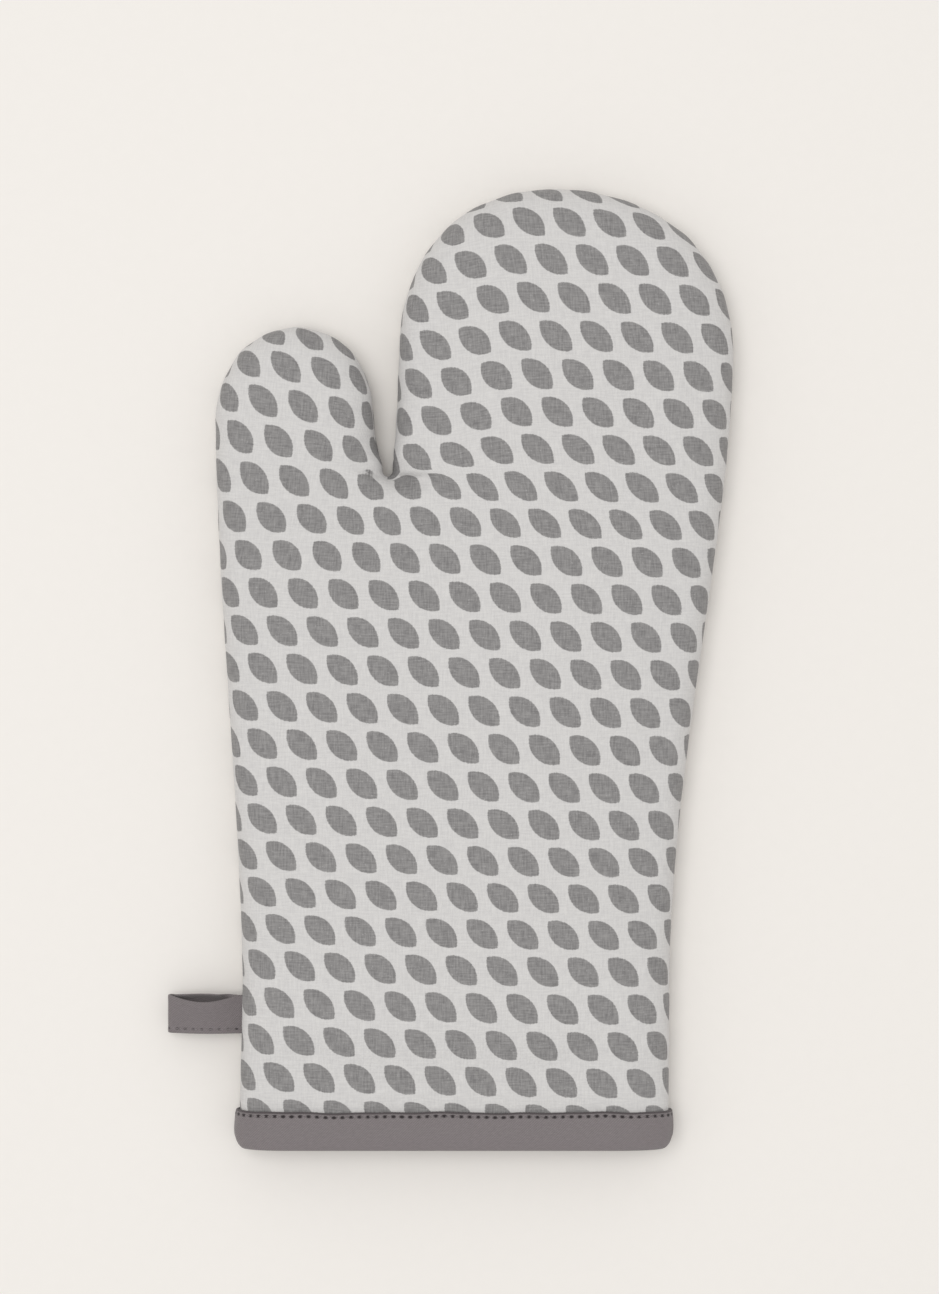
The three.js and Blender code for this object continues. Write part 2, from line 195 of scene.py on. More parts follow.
# %% Draw the outline
CUFF_HALF = 74.0
WAIST_Y = 55.0
WAIST = (-72.6, 74.3)
THUMB = {"left": -82.0, "right": -27.5, "peak": -54.0, "tip": 282.5, "shoulder": 250.0}
HAND = {"left": -18.7, "right": HAND_RIGHT, "peak": 34.0, "tip": LENGTH, "shoulder": 274.0}
CROTCH = np.array([-22.7, 233.5])  # centre of the small round between thumb and fingers
CROTCH_R = 2.2
CROTCH_TURN = math.radians(75)
BASE_Y = 211.0  # where thumb and fingers start
FIRST_Y = 2.0  # the panels stop just short of the binding's fold
T = np.linspace(0, 1, 160)[:, None]


def line(a, b):
    """Straight from a to b."""
    return (1 - T) * np.array(a) + T * np.array(b)


def bezier(a, b, c, d):
    """The cubic Bezier curve: its four points blended by (1-t)^3, 3t(1-t)^2, 3t^2(1-t) and t^3."""
    a, b, c, d = (np.array(p, float) for p in (a, b, c, d))
    return (1 - T) ** 3 * a + 3 * T * (1 - T) ** 2 * b + 3 * T**2 * (1 - T) * c + T**3 * d


def corner(a, b, up_first, full=0.6):
    """A round corner that leaves a and reaches b along the sides of their box."""
    run = np.array([(b[0] - a[0]) * full, 0])
    rise = np.array([0, (b[1] - a[1]) * full])
    first, last = (rise, run) if up_first else (run, rise)
    return bezier(a, np.array(a) + first, np.array(b) - last, b)


def side(a, b, early, late, lean):
    """A side that leaves a and reaches b upright and crosses over in between."""
    run, rise = b[0] - a[0], b[1] - a[1]
    leave, reach = (a[0] + run * lean, a[1] + rise * early), (b[0] - run * lean, b[1] - rise * late)
    return bezier(a, leave, reach, b)


def crotch_arc():
    """The round between thumb and fingers, from its thumb side to its finger side."""
    angle = -math.pi / 2 + CROTCH_TURN * (2 * T - 1)
    return CROTCH + CROTCH_R * np.hstack([np.cos(angle), np.sin(angle)])


arc = crotch_arc()
thumb_l, thumb_r = (THUMB["left"], THUMB["shoulder"]), (THUMB["right"], THUMB["shoulder"])
hand_l, hand_r = (HAND["left"], HAND["shoulder"]), (HAND["right"], HAND["shoulder"])
thumb_top, hand_top = (THUMB["peak"], THUMB["tip"]), (HAND["peak"], HAND["tip"])
stretches = [
    line((-CUFF_HALF, 0), (WAIST[0], WAIST_Y)),
    side((WAIST[0], WAIST_Y), thumb_l, 0.33, 0.33, 0.08),
    corner(thumb_l, thumb_top, True, 0.56),
    corner(thumb_top, thumb_r, False, 0.6),
    line(thumb_r, arc[0]),
    arc,
    line(arc[-1], hand_l),
    corner(hand_l, hand_top, True),
    corner(hand_top, hand_r, False),
    side(hand_r, (WAIST[1], WAIST_Y), 0.28, 0.36, 0.02),
    line((WAIST[1], WAIST_Y), (CUFF_HALF, 0)),
]
dense = np.vstack([s[:-1] for s in stretches] + [stretches[-1][-1:]])
tangent = np.gradient(dense, axis=0)
tangent /= np.linalg.norm(tangent, axis=1)[:, None]
inward = np.stack([tangent[:, 1], -tangent[:, 0]], 1)
print(f"outline of {len(dense)} points, {np.abs(np.diff(dense, axis=0)).sum(1).sum():.0f} mm round")

# %% [markdown]
# ## A grid that fits the mitt
# A mitt isn't a rectangle, so one grid can't cover it. Four grids that share their edges can: a rim
# that runs all the way round from cuff to cuff, and inside it a palm, a thumb and a hand. Each
# inner grid is a Coons patch, which fills the space between four edges by blending them.

# %% Choose the rim's stations
RIM = 20.0  # width over which the padded edge turns into the flat middle
COUNTS = {"left": 66, "thumb_left": 28, "thumb_top": 14, "thumb_right": 28,
          "hand_left": 38, "hand_top": 32, "hand_right": 38, "right": 66}
CROWDED = {"thumb_right": -1.4, "hand_left": 1.4}  # stations crowd towards the crotch


def stations():
    """Where the four grids' corners meet the outline, as numbers of dense points. The outline's
    stretches are numbered from 0, so 2.5 is the middle of the round on the thumb's outer side."""
    per = len(T) - 1
    left_half = np.arange(len(dense)) < 4 * per
    start = int(np.argmin(np.abs(dense[:per, 1] - FIRST_Y)))
    base_left = int(np.argmin(np.where(left_half, np.abs(dense[:, 1] - BASE_Y), 1e9)[:2 * per]))
    base_right = 9 * per + int(np.argmin(np.abs(dense[9 * per:10 * per, 1] - BASE_Y)))
    end = 10 * per + int(np.argmin(np.abs(dense[10 * per:, 1] - FIRST_Y)))
    return [start, base_left, int(2.5 * per), int(3.5 * per), int(5.5 * per),
            int(7.45 * per), int(8.55 * per), base_right, end]


middle = dense + inward * RIM / 2  # stations are spread evenly along the rim's middle
travelled = walked(middle)
marks = [travelled[i] for i in stations()]
spaced = []
for a, b, (name, n) in zip(marks, marks[1:], COUNTS.items()):
    share = np.linspace(0, 1, n, endpoint=False)
    power = CROWDED.get(name, 1)
    share = share**power if power > 0 else 1 - (1 - share) ** -power
    spaced.append(a + (b - a) * share)
spaced = np.concatenate(spaced + [marks[-1:]])
rim_at = np.stack([np.interp(spaced, travelled, dense[:, k]) for k in (0, 1)], 1)
rim_in = np.stack([np.interp(spaced, travelled, inward[:, k]) for k in (0, 1)], 1)
rim_in /= np.linalg.norm(rim_in, axis=1)[:, None]
rim_walk = walked(rim_at)
AROUND = len(rim_at)
print(f"{AROUND} stations round the mitt, {rim_walk[-1]:.0f} mm of side seam")

# %% [markdown]
# ## Filling the middle
# The palm starts at the cuff and ends on a line from side to side through the crotch, where the
# thumb and the hand start. Points on that line belong to all three, so the cloth has no slits.

# %% Fill the middle with Coons patches
def coons(bottom, top, left, right):
    """Between four edges: the blend of bottom and top, plus that of left and right, less that of
    the four corners, which both of them counted."""
    u = np.linspace(0, 1, len(bottom))[None, :, None]
    v = np.linspace(0, 1, len(left))[:, None, None]
    across = (1 - v) * bottom[None] + v * top[None]
    along = (1 - u) * left[:, None] + u * right[:, None]
    corners = ((1 - v) * ((1 - u) * bottom[0] + u * bottom[-1])
               + v * ((1 - u) * top[0] + u * top[-1]))
    return across + along - corners


def middle_grids(rows):
    """Plan points inside the rim, then the palm's, the thumb's and the hand's grids of point numbers,
    and the numbers along the cuff. Points are numbered on from a rim of so many rows."""
    inner = rim_at + rim_in * RIM
    cut = np.cumsum([0] + list(COUNTS.values()))
    last_row = (rows - 1) * AROUND + np.arange(AROUND)
    plan = {}
    count = rows * AROUND

    def add(points):
        nonlocal count
        ids = count + np.arange(len(points))
        plan[count] = points
        count += len(points)
        return ids

    left, right = last_row[:cut[1] + 1], last_row[cut[7]:][::-1]
    crotch = last_row[cut[4]]
    wide = [COUNTS["thumb_top"], COUNTS["hand_top"]]
    to_crotch = np.linspace(inner[cut[1]], inner[cut[4]], wide[0] + 1)
    from_crotch = np.linspace(inner[cut[4]], inner[cut[7]], wide[1] + 1)
    base = np.concatenate([[left[-1]], add(to_crotch[1:-1]), [crotch],
                           add(from_crotch[1:-1]), [right[-1]]])
    cuff_line = np.linspace(inner[0], inner[-1], sum(wide) + 1)
    cuff = np.concatenate([[left[0]], add(cuff_line[1:-1]), [right[0]]])

    def at(ids):
        known = np.zeros((count, 2))
        known[last_row] = inner
        for start, points in plan.items():
            known[start:start + len(points)] = points
        return known[ids]

    def patch(bottom, top, west, east):
        ids = np.zeros((len(west), len(bottom)), int)
        ids[0], ids[-1], ids[:, 0], ids[:, -1] = bottom, top, west, east
        inside = coons(at(bottom), at(top), at(west), at(east))[1:-1, 1:-1]
        ids[1:-1, 1:-1] = add(inside.reshape(-1, 2)).reshape(inside.shape[:2])
        return ids

    palm = patch(cuff, base, left, right)
    thumb = patch(base[:wide[0] + 1], last_row[cut[2]:cut[3] + 1], last_row[cut[1]:cut[2] + 1],
                  last_row[cut[3]:cut[4] + 1][::-1])
    hand = patch(base[wide[0]:], last_row[cut[5]:cut[6] + 1], last_row[cut[4]:cut[5] + 1],
                 last_row[cut[6]:cut[7] + 1][::-1])
    points = np.concatenate([plan[k] for k in sorted(plan)])
    return points, [palm, thumb, hand], cuff


def distance_in(points):
    """How far each plan point is from the outline, a block of points at a time."""
    blocks = np.array_split(points, 12)
    return np.concatenate([np.linalg.norm(b[:, None] - rim_at[None], axis=2).min(1) for b in blocks])


inside_plan, _, _ = middle_grids(1)
inside_depth = distance_in(inside_plan)
print(f"{len(inside_plan)} points inside the rim, the deepest {inside_depth.max():.0f} mm in")

# %% [markdown]
# ## The padded section
# Across the mitt, the cloth leaves the side seam, turns over the edge of the padding and levels
# out. That turn is a superellipse, squarer than a circle. One function gives it for any layer,
# from how deep the layer lies under the outer face. The cuff is squeezed flatter by its binding.

# %% Sections and sheets
FULLNESS = 0.8
SEAM_GAP = 0.15  # half the air between front and back at the seam
CLOTH = 0.5
WALL = 5.6  # cloth, wadding and lining, with the air between them
SIDE_WALL = 8.0  # side seam to lining seam
CUFF_SQUEEZE = 0.8
CUFF_LIFT = 1.8
FREE_FROM, FREE_TO = 15.0, 45.0


def settle(y, z):
    """Heights as they are after the binding has squeezed the cuff by a fifth."""
    return z + (1 - smoothstep(FREE_FROM, FREE_TO, y)) * (CUFF_LIFT + (CUFF_SQUEEZE - 1) * z)


def turn(height, deep_side, deep_up, lift=0.0):
    """Superellipse from the seam up to the level middle: cos and sin of an angle, each to the power
    FULLNESS. Returns [inset, height above the seam] points, leaving out those lower than lift."""
    angle = np.linspace(0, math.pi / 2, 160)
    across = np.clip(np.cos(angle), 0, 1) ** FULLNESS
    up = np.sin(angle) ** FULLNESS * (height - deep_up)
    keep = up >= lift
    return np.stack([RIM - (RIM - deep_side) * across, up], 1)[keep]


def resampled(path, spacing):
    """Points along a path at a spacing that changes with place: spacing is a list of step lengths
    that is scaled to fit."""
    walk = walked(path)
    at = np.concatenate([[0], np.cumsum(spacing)])
    at = at / at[-1] * walk[-1]
    return np.stack([np.interp(at, walk, path[:, k]) for k in range(path.shape[1])], 1)


def sheet_points(section, level, is_front, swell=0.0):
    """Carries a section of [inset, height] points round the rim and fills the middle at its last
    height, with swell more in the deepest parts, none at the cuff. Returns points and flat cut."""
    insets, ups = section[:, 0], section[:, 1]
    plan = rim_at[None] + rim_in[None] * insets[:, None, None]
    rim_z = np.broadcast_to(ups[:, None], plan.shape[:2])
    middle_z = level + swell * smoothstep(RIM, 52, inside_depth) * smoothstep(18, 75, inside_plan[:, 1])
    plan = np.concatenate([plan.reshape(-1, 2), inside_plan])
    up = np.concatenate([rim_z.ravel(), middle_z]) + SEAM_GAP
    z = settle(plan[:, 1], SEAM + up if is_front else SEAM - up)
    walk = walked(section)
    flat = rim_at[None] + rim_in[None] * (RIM - walk[-1] + walk)[:, None, None]
    flat = np.concatenate([flat.reshape(-1, 2), inside_plan])
    return np.column_stack([plan, z]), flat


def sheet_faces(rows, is_front):
    """Faces of the rim and of the three middle grids, all facing out."""
    _, grids, _ = middle_grids(rows)
    rim = np.arange(rows * AROUND).reshape(rows, AROUND)
    faces = [grid_faces(rim.T)] + [grid_faces(g) for g in grids]
    faces = np.concatenate(faces)
    return faces if is_front else faces[:, ::-1]


def depths(section):
    """How far in from the outline each point of a sheet is: on the rim from its section, and in the
    middle as measured."""
    return np.concatenate([np.repeat(section[:, 0], AROUND), inside_depth])


def flat_cut(flat):
    """Width, length and area of a cut piece, by the shoelace formula round its edge."""
    edge = flat[:AROUND]
    x, y = edge[:, 0], edge[:, 1]
    area = abs(np.dot(x, np.roll(y, 1)) - np.dot(y, np.roll(x, 1))) / 2
    size = edge.max(0) - edge.min(0)
    return size * MM, area * MM * MM


edge_path = turn(CROWN, 0, 0)
print(f"cloth runs {walked(edge_path)[-1]:.1f} mm from the seam over the {RIM:.0f} mm wide rim")

# %% [markdown]
# ## The outer panels
# Each panel is cut larger than the finished mitt, because its edge has to climb over the padding
# and turn in at the seam. The section therefore starts with the seam allowance, lying flat inside,
# then rolls over the seam's lip. Small waves near the seam are the cloth's spare length at the
# tips, taken up by the stitching, and a tuck runs out of the crotch, where cloth always gathers.

# %% Outer panel sections
ALLOWANCE = 3.7
LIP = 1.7  # radius of the roll beside the side seam
LEVEL = {True: CROWN - SEAM_GAP, False: SEAM - SEAM_GAP}  # height of the middle, front and back
SWELL = {True: 1.7, False: 0.0}  # how much higher the padding is in the deepest parts
STEPS = [1.3, 1.3] + [0.45] * 6 + [0.8, 1.2, 1.7] + [2.1] * 10  # allowance, lip, then the turn


def outer_section(is_front):
    """Allowance, lip and turn, as one path from the cut edge to the level middle."""
    height = LEVEL[is_front]
    angle = np.linspace(-math.pi / 2, 0, 24)
    lip = np.stack([LIP - LIP * np.cos(angle), LIP + LIP * np.sin(angle)], 1)
    path = np.vstack([[[CLOTH + ALLOWANCE, 0.0]], lip, turn(height, 0, 0, LIP + 0.3)])
    return resampled(path, STEPS)


def puckers(points, rows, is_front):
    """Waves of spare cloth beside the side seam: three sines along the seam, strongest two to eight
    millimetres up the edge and round the tips."""
    phase = 0.0 if is_front else 1.7
    wave = (np.sin(rim_walk / 1.95 + phase + np.sin(rim_walk / 23))
            + 0.7 * np.sin(rim_walk / 3.3 + 2 * phase) + 0.5 * np.sin(rim_walk / 7.1))
    bend = np.abs(np.gradient(np.unwrap(np.arctan2(rim_in[:, 1], rim_in[:, 0])), rim_walk))
    strength = 0.10 + 0.30 * smoothstep(0.004, 0.03, np.convolve(bend, np.ones(9) / 9, "same"))
    near_crotch = 1 - smoothstep(8, 34, np.linalg.norm(rim_at - CROTCH, axis=1))
    strength = strength + 0.35 * near_crotch
    free = smoothstep(14, 40, rim_at[:, 1])
    insets = np.linalg.norm(points[:rows * AROUND, :2].reshape(rows, AROUND, 2) - rim_at, axis=2)
    up = np.abs(points[:rows * AROUND, 2].reshape(rows, AROUND) - SEAM)
    band = smoothstep(0.5, 2.5, up) * (1 - smoothstep(3, 15, insets))
    push = (wave * strength * free)[None] * band
    moved = points.copy()
    moved[:rows * AROUND, :2] -= (rim_in[None] * push[..., None]).reshape(-1, 2) * 0.6
    moved[:rows * AROUND, 2] += (push * 0.5 * (1 if is_front else -0.4)).ravel()
    return moved


def crease_lines(points, start, end):
    """Signed distance from the line of a tuck, and its strength, which dies away at both ends."""
    start, end = np.array(start), np.array(end)
    direction = (end - start) / np.linalg.norm(end - start)
    offset = points[:, :2] - start
    along = offset @ direction / np.linalg.norm(end - start)
    off = offset @ np.array([-direction[1], direction[0]])
    return off, smoothstep(-0.15, 0.12, along) * (1 - smoothstep(0.45, 1.1, along))


def crease(points, start, end, depth, width):
    """How far points drop into a tuck: a steep bank on one side of its line and a long one on the
    other, as where cloth folds over itself, with a low roll beside the steep bank."""
    off, fade = crease_lines(points, start, end)
    steep = np.where(off > 0, width * 0.8, width * 2.6)
    roll = np.exp(-(((off - 2.2 * width) / (1.1 * width)) ** 2))
    return fade * depth * (np.exp(-((off / steep) ** 2)) - 0.35 * roll)


def slow_waves(points):
    """Unevenness of hand-filled padding, a few tenths of a millimetre over several centimetres."""
    x, y = points[:, 0], points[:, 1]
    return (np.sin(x / 17 + 0.6) * np.sin(y / 23 + 1.1) + 0.6 * np.sin(x / 9.5 + y / 14)
            + 0.5 * np.sin(y / 11 - x / 31 + 2))


def shape_outer(is_front):
    """One outer panel before the cloth settles, with its flat cut coordinates."""
    section = outer_section(is_front)
    rows = len(section)
    points, flat = sheet_points(section, LEVEL[is_front], is_front, SWELL[is_front])
    points = puckers(points, rows, is_front)
    if is_front:
        depth = depths(section)
        free = smoothstep(6, 24, depth) * smoothstep(14, 50, points[:, 1])
        points[:, 2] += 0.22 * slow_waves(points) * free
        beside_tape = np.exp(-(((points[:, 1] - 14.2) / 2.4) ** 2))
        points[:, 2] -= 0.7 * beside_tape * smoothstep(2, 8, depth)
        for tuck in TUCKS:
            points[:, 2] -= 0.4 * crease(points, *tuck) * smoothstep(1.0, 4.0, depth)
    return points, flat, section


# start, end, depth and width of each tuck, on the front
TUCKS = [
    ((-21.5, 230.9), (-3.0, 229.6), 2.3, 1.3),
    ((-25.0, 231.0), (-36.0, 234.0), 1.2, 1.1),
    ((-19.5, 233.5), (-12.0, 244.0), 0.6, 1.2),
]
ROWS = len(outer_section(True))
outer = {is_front: shape_outer(is_front) for is_front in (True, False)}
outer_faces = {is_front: sheet_faces(ROWS, is_front) for is_front in (True, False)}

# %% [markdown]
# ## Letting the cloth settle
# A shape from a formula is too even for sewn cloth. Blender's cloth simulation is run on each panel
# with its seam and cuff pinned: a little pressure stands for the wadding, and the cloth is let grow
# by half a percent, so that it finds its own small bulges. How far any point may move is capped,
# which keeps the mitt its size.

# %% Cloth simulation
CAP = {True: 1.5, False: 0.6}  # furthest that a point may move, front and back
SEWN_ROWS = 10  # rows of the allowance and the lip, which the settling leaves in place


def settled(name, points, faces, pinned, cap):
    """Points after twenty frames of cloth under pressure, each moved by at most cap."""
    trial = make_piece(name, points, faces)
    group = trial.vertex_groups.new(name="sewn")
    for weight in np.unique(np.round(pinned, 1)):
        if weight > 0:
            group.add(np.flatnonzero(np.round(pinned, 1) == weight).tolist(), float(weight), "REPLACE")
    cloth = trial.modifiers.new("cloth", "CLOTH").settings
    cloth.quality = 6
    cloth.mass = 0.2
    cloth.tension_stiffness = 20
    cloth.compression_stiffness = 12
    cloth.shear_stiffness = 6
    cloth.bending_stiffness = 0.6
    cloth.shrink_min = -0.005  # less than none, so the cloth grows by half a percent
    cloth.vertex_group_mass = "sewn"
    cloth.use_pressure = True
    cloth.uniform_pressure_force = 4
    cloth.effector_weights.gravity = 0
    scene = bpy.context.scene
    for number in range(1, 21):
        scene.frame_set(number)
    done = trial.evaluated_get(bpy.context.evaluated_depsgraph_get()).to_mesh()
    moved = np.zeros(len(points) * 3, np.float32)
    done.vertices.foreach_get("co", moved)
    moved = moved.reshape(-1, 3) / MM - CUFF
    scene.frame_set(1)
    bpy.data.objects.remove(trial)
    step = moved - points
    length = np.linalg.norm(step, axis=1)[:, None] + 1e-9
    return points + step / length * cap * np.tanh(length / cap)


def pin_weights(points, section):
    """1 on the allowance, the lip and the cuff, falling to 0 over the next few millimetres."""
    depth = depths(section)
    hidden = np.repeat(np.arange(ROWS) < SEWN_ROWS, AROUND)
    sewn = np.concatenate([hidden, np.zeros(len(inside_plan), bool)])
    edge = 1 - smoothstep(1.5, 9, depth)
    cuff = 1 - smoothstep(16, 34, points[:, 1])
    return np.maximum(np.maximum(edge, cuff), sewn)


for is_front in (True, False):
    points, flat, section = outer[is_front]
    name = "trial_front" if is_front else "trial_back"
    new = settled(name, points, outer_faces[is_front], pin_weights(points, section), CAP[is_front])
    new[:, 2] = np.maximum(new[:, 2], SEAM if is_front else 0.02)  # not through the table
    outer[is_front] = (new, flat, section)
    print(f"{name}: moved {np.linalg.norm(new - points, axis=1).max():.2f} mm at most")

# %% [markdown]
# ## From the settled cloth to the finished panels
# The settled grid is subdivided once, which rounds its shading, and the subdivision is applied so
# that the last, finest shape can be carved in numpy: the tucks at the crotch are only a couple of
# millimetres wide, narrower than the grid that the simulation ran on.

# %% Panels
THUMB_BASE = (-52, 225)  # the thumb's cloth is turned about this point
THUMB_TURN = math.radians(7.5)
THUMB_PULL = 3.5  # mm of cloth taken up beside the thumb
NOTCH_PULL = 3.6  # mm of cloth hidden by the fold beside the notch


def arrays_of(piece):
    """Points in mm, quads and flat cut coordinates of a piece with its modifiers applied."""
    graph = bpy.context.evaluated_depsgraph_get()
    mesh = bpy.data.meshes.new_from_object(piece.evaluated_get(graph))
    points = np.zeros(len(mesh.vertices) * 3, np.float32)
    mesh.vertices.foreach_get("co", points)
    corners = np.zeros(len(mesh.loops), np.int32)
    mesh.loops.foreach_get("vertex_index", corners)
    uv = np.zeros(len(mesh.loops) * 2, np.float32)
    mesh.uv_layers[0].data.foreach_get("uv", uv)
    flat = np.zeros((len(mesh.vertices), 2))
    flat[corners] = uv.reshape(-1, 2)
    bpy.data.meshes.remove(mesh)
    return points.reshape(-1, 3) / MM - CUFF, corners.reshape(-1, 4), flat


def outer_panel(name, is_front):
    """A finished outer panel: the settled grid, subdivided, carved with the tucks, 0.5 mm thick."""
    points, flat, section = outer[is_front]
    coarse = make_piece(name + "_coarse", points, outer_faces[is_front], flat)
    subdivide(coarse)
    fine, faces, fine_flat = arrays_of(coarse)
    bpy.data.objects.remove(coarse)
    if is_front:
        lifted = smoothstep(SEAM + 1.5, SEAM + 5, fine[:, 2])
        for tuck in TUCKS:
            fine[:, 2] -= crease(fine, *tuck) * lifted
    piece = make_piece(name, fine, faces, warped(fine_flat, fine[:, 0]))
    solidify(piece, CLOTH)
    return piece


def warped(flat, sewn_x):
    """Where on the printed cloth each point of the flat cut lies. Printed rows aren't straight on a
    sewn mitt: they wave by under a millimetre, turn with the thumb, and jump where a tuck hides
    cloth, most of all on the fingers' side of the notch, which sewn_x tells."""
    x, y = flat[:, 0], flat[:, 1]
    on_thumb = smoothstep(206, 262, y) * (1 - smoothstep(-34, -18, x))
    turn_by = THUMB_TURN * on_thumb
    x_from, y_from = x - THUMB_BASE[0], y - THUMB_BASE[1]
    new_x = THUMB_BASE[0] + x_from * np.cos(turn_by) - y_from * np.sin(turn_by)
    new_y = THUMB_BASE[1] + x_from * np.sin(turn_by) + y_from * np.cos(turn_by)
    new_y += 0.8 * np.sin(x / 60 + 0.4) + 0.5 * np.sin(y / 45)
    # towards the cuff the rows ride up a little
    at_cuff = 1 - smoothstep(20, 140, y)
    new_y -= 1.0 * at_cuff + 0.8 * np.exp(-(((y - 65) / 30) ** 2))
    # beside the thumb the cloth is pulled towards the palm, less so near the thumb's tip
    thumb_side = smoothstep(185, 225, y) * (1 - smoothstep(-45, -10, x))
    new_x -= THUMB_PULL * thumb_side * (1 - 0.65 * smoothstep(240, 280, y))
    # past the notch the fingers' cloth is pulled into the fold: at once beside it, slowly further off
    pull_from = 230.5 - 30 * smoothstep(-10, 30, x)
    pull_to = 233.5 + 14 * smoothstep(-10, 15, x)
    pulled = smoothstep(0, 1, (y - pull_from) / (pull_to - pull_from)) * (sewn_x > CROTCH[0])
    new_x += pulled * (NOTCH_PULL + 0.066 * np.maximum(y - 268, 0))
    down = NOTCH_PULL * (1 - smoothstep(-8, 24, x)) - 0.035 * np.maximum(y - 262, 0)
    new_y += pulled * down
    for start, end, depth, _ in TUCKS[1:]:
        off, fade = crease_lines(flat, start, end)
        new_y += depth * 1.1 * fade * np.tanh(off / 0.7) * np.exp(-np.abs(off) / 7)
    return np.column_stack([new_x, new_y])


printed_front = outer_panel("printed_front", True)
printed_back = outer_panel("printed_back", False)
for piece in (printed_front, printed_back):
    print(piece.name, len(piece.data.polygons), "faces before its thickness")

# %% [markdown]
# ## The wadding
# The wadding is the thick soft layer that keeps the heat out. It can't be seen on a finished mitt,
# but it fills the space, so it is made as a closed pad: the panel's own points moved in by the
# cloth, and a second surface four millimetres further in.

# %% Wadding
PAD_UNDER = 0.95  # from the panel's face in to the pad's
PAD_SHORT = 0.8  # the pad's far side stays this much short of the wall's


def closed_pad(name, top, bottom, rows, is_front):
    """Two sheets on one grid, joined round their edges into a closed skin. The sheets start above
    the seam, so their edge is the seam side all the way round and the cuff between its ends."""
    faces = sheet_faces(rows, is_front)
    count = len(top)
    _, _, cuff = middle_grids(rows)
    rim = np.arange(rows * AROUND).reshape(rows, AROUND)
    edge = np.concatenate([rim[0], rim[1:, -1], cuff[::-1][1:-1], rim[1:, 0][::-1]])
    strip = grid_faces(np.stack([np.append(edge, edge[0]), np.append(edge, edge[0]) + count]))
    skin = np.concatenate([faces, faces[:, ::-1] + count, strip if is_front else strip[:, ::-1]])
    pad = make_piece(name, np.concatenate([top, bottom]), skin)
    subdivide(pad)
    return pad


def wadding(name, is_front):
    """A pad from just under the panel's cloth to about 4 mm further in."""
    points, _, section = outer[is_front]
    panel = make_piece("measure", points, outer_faces[is_front])
    normals = np.zeros(len(points) * 3, np.float32)
    panel.data.vertices.foreach_get("normal", normals)
    bpy.data.objects.remove(panel)
    rows = ROWS - SEWN_ROWS
    top = (points - PAD_UNDER * normals.reshape(-1, 3))[SEWN_ROWS * AROUND:]
    height = LEVEL[is_front]
    inner = turn(height, SIDE_WALL - PAD_SHORT, WALL - PAD_SHORT, 1.6)
    inner = resampled(inner, np.ones(rows - 1))
    bottom, _ = sheet_points(inner, height - WALL + PAD_SHORT, is_front)
    if is_front:
        for tuck in TUCKS:
            top[:, 2] -= crease(top, *tuck) * smoothstep(SEAM + 3, SEAM + 7, top[:, 2])
    return closed_pad(name, top, bottom, rows, is_front)


wadding_front = wadding("wadding_front", True)
wadding_back = wadding("wadding_back", False)
print("wadding", len(wadding_front.data.polygons), "faces each before smoothing")

# %% [markdown]
# ## The lining
# Inside is a second, smaller mitt of undyed cotton. Its seam lies further in than the outer one, by
# the thickness of everything between them, and nothing stretches it, so it stays a little loose.

# %% Lining
LINING_ALLOWANCE = 3.5


def lining_panel(name, is_front):
    """The lining: its allowance, a small roll at its seam, the turn and the level middle, with waves
    of a few tenths of a millimetre, since nothing stretches it."""
    height = LEVEL[is_front]
    seam_in = SIDE_WALL
    roll = np.array([[seam_in - 0.5, 0.0], [seam_in - 0.15, 0.15], [seam_in, 0.5]])
    path = np.vstack([[[seam_in - LINING_ALLOWANCE, 0.0]], roll, turn(height, seam_in, WALL, 0.8)])
    section = resampled(path, [1.4, 1.4, 0.6, 0.6, 0.6] + [1.9] * 8)
    rows = len(section)
    points, flat = sheet_points(section, height - WALL, is_front, 0.4 if is_front else 0.0)
    depth = depths(section)
    free = smoothstep(9, 22, depth) * smoothstep(20, 60, points[:, 1])
    points[:, 2] += 0.25 * slow_waves(points) * free * (1 if is_front else 0.6)
    piece = make_piece(name, points, sheet_faces(rows, not is_front), flat)
    solidify(piece, CLOTH)
    return piece, flat_cut(flat)


lining_front, lining_cut = lining_panel("lining_front", True)
lining_back, _ = lining_panel("lining_back", False)
print("lining cut", np.round(lining_cut[0] / MM), "mm")

# %% [markdown]
# ## The binding
# A folded tape closes the cuff's raw edges. Its section is drawn once, as a closed outline of a
# strip folded over the four layers, and carried round the mouth. One number says how far into the
# mitt's wall a point is, so the same section fits the flat middle and the turned sides.

# %% The ring round the mouth
BINDING_OUTSIDE = 13.4  # from the fold to the tape's edge, outside the cuff
BINDING_INSIDE = 12.4
STITCH_Y = BINDING_OUTSIDE - 1.5
STITCH_PITCH = 2.9
OUT = 1.3  # tape's outside beyond the panel's face
CORNER = 3.6  # radius of the cuff's corners
FLARE = 0.5  # how far the tape bellies out between its fold and its stitches


def sleeve_side(y, sign):
    """x of the sleeve's side, which runs straight from the cuff to the waist."""
    waist = WAIST[1] if sign > 0 else WAIST[0]
    return sign * CUFF_HALF + (waist - sign * CUFF_HALF) * y / WAIST_Y


def mouth_samples(spacing):
    """Stations round the mouth: angles on each of the four quarters, and shares of the way along
    each of the two straights, about spacing mm apart."""
    quarter_count = max(3, round(27 / spacing))
    span_count = max(3, round((2 * CUFF_HALF - 2 * RIM) / spacing))
    angles = np.linspace(0, math.pi / 2, quarter_count, endpoint=False)
    shares = np.linspace(0, 1, span_count, endpoint=False)
    return angles, shares


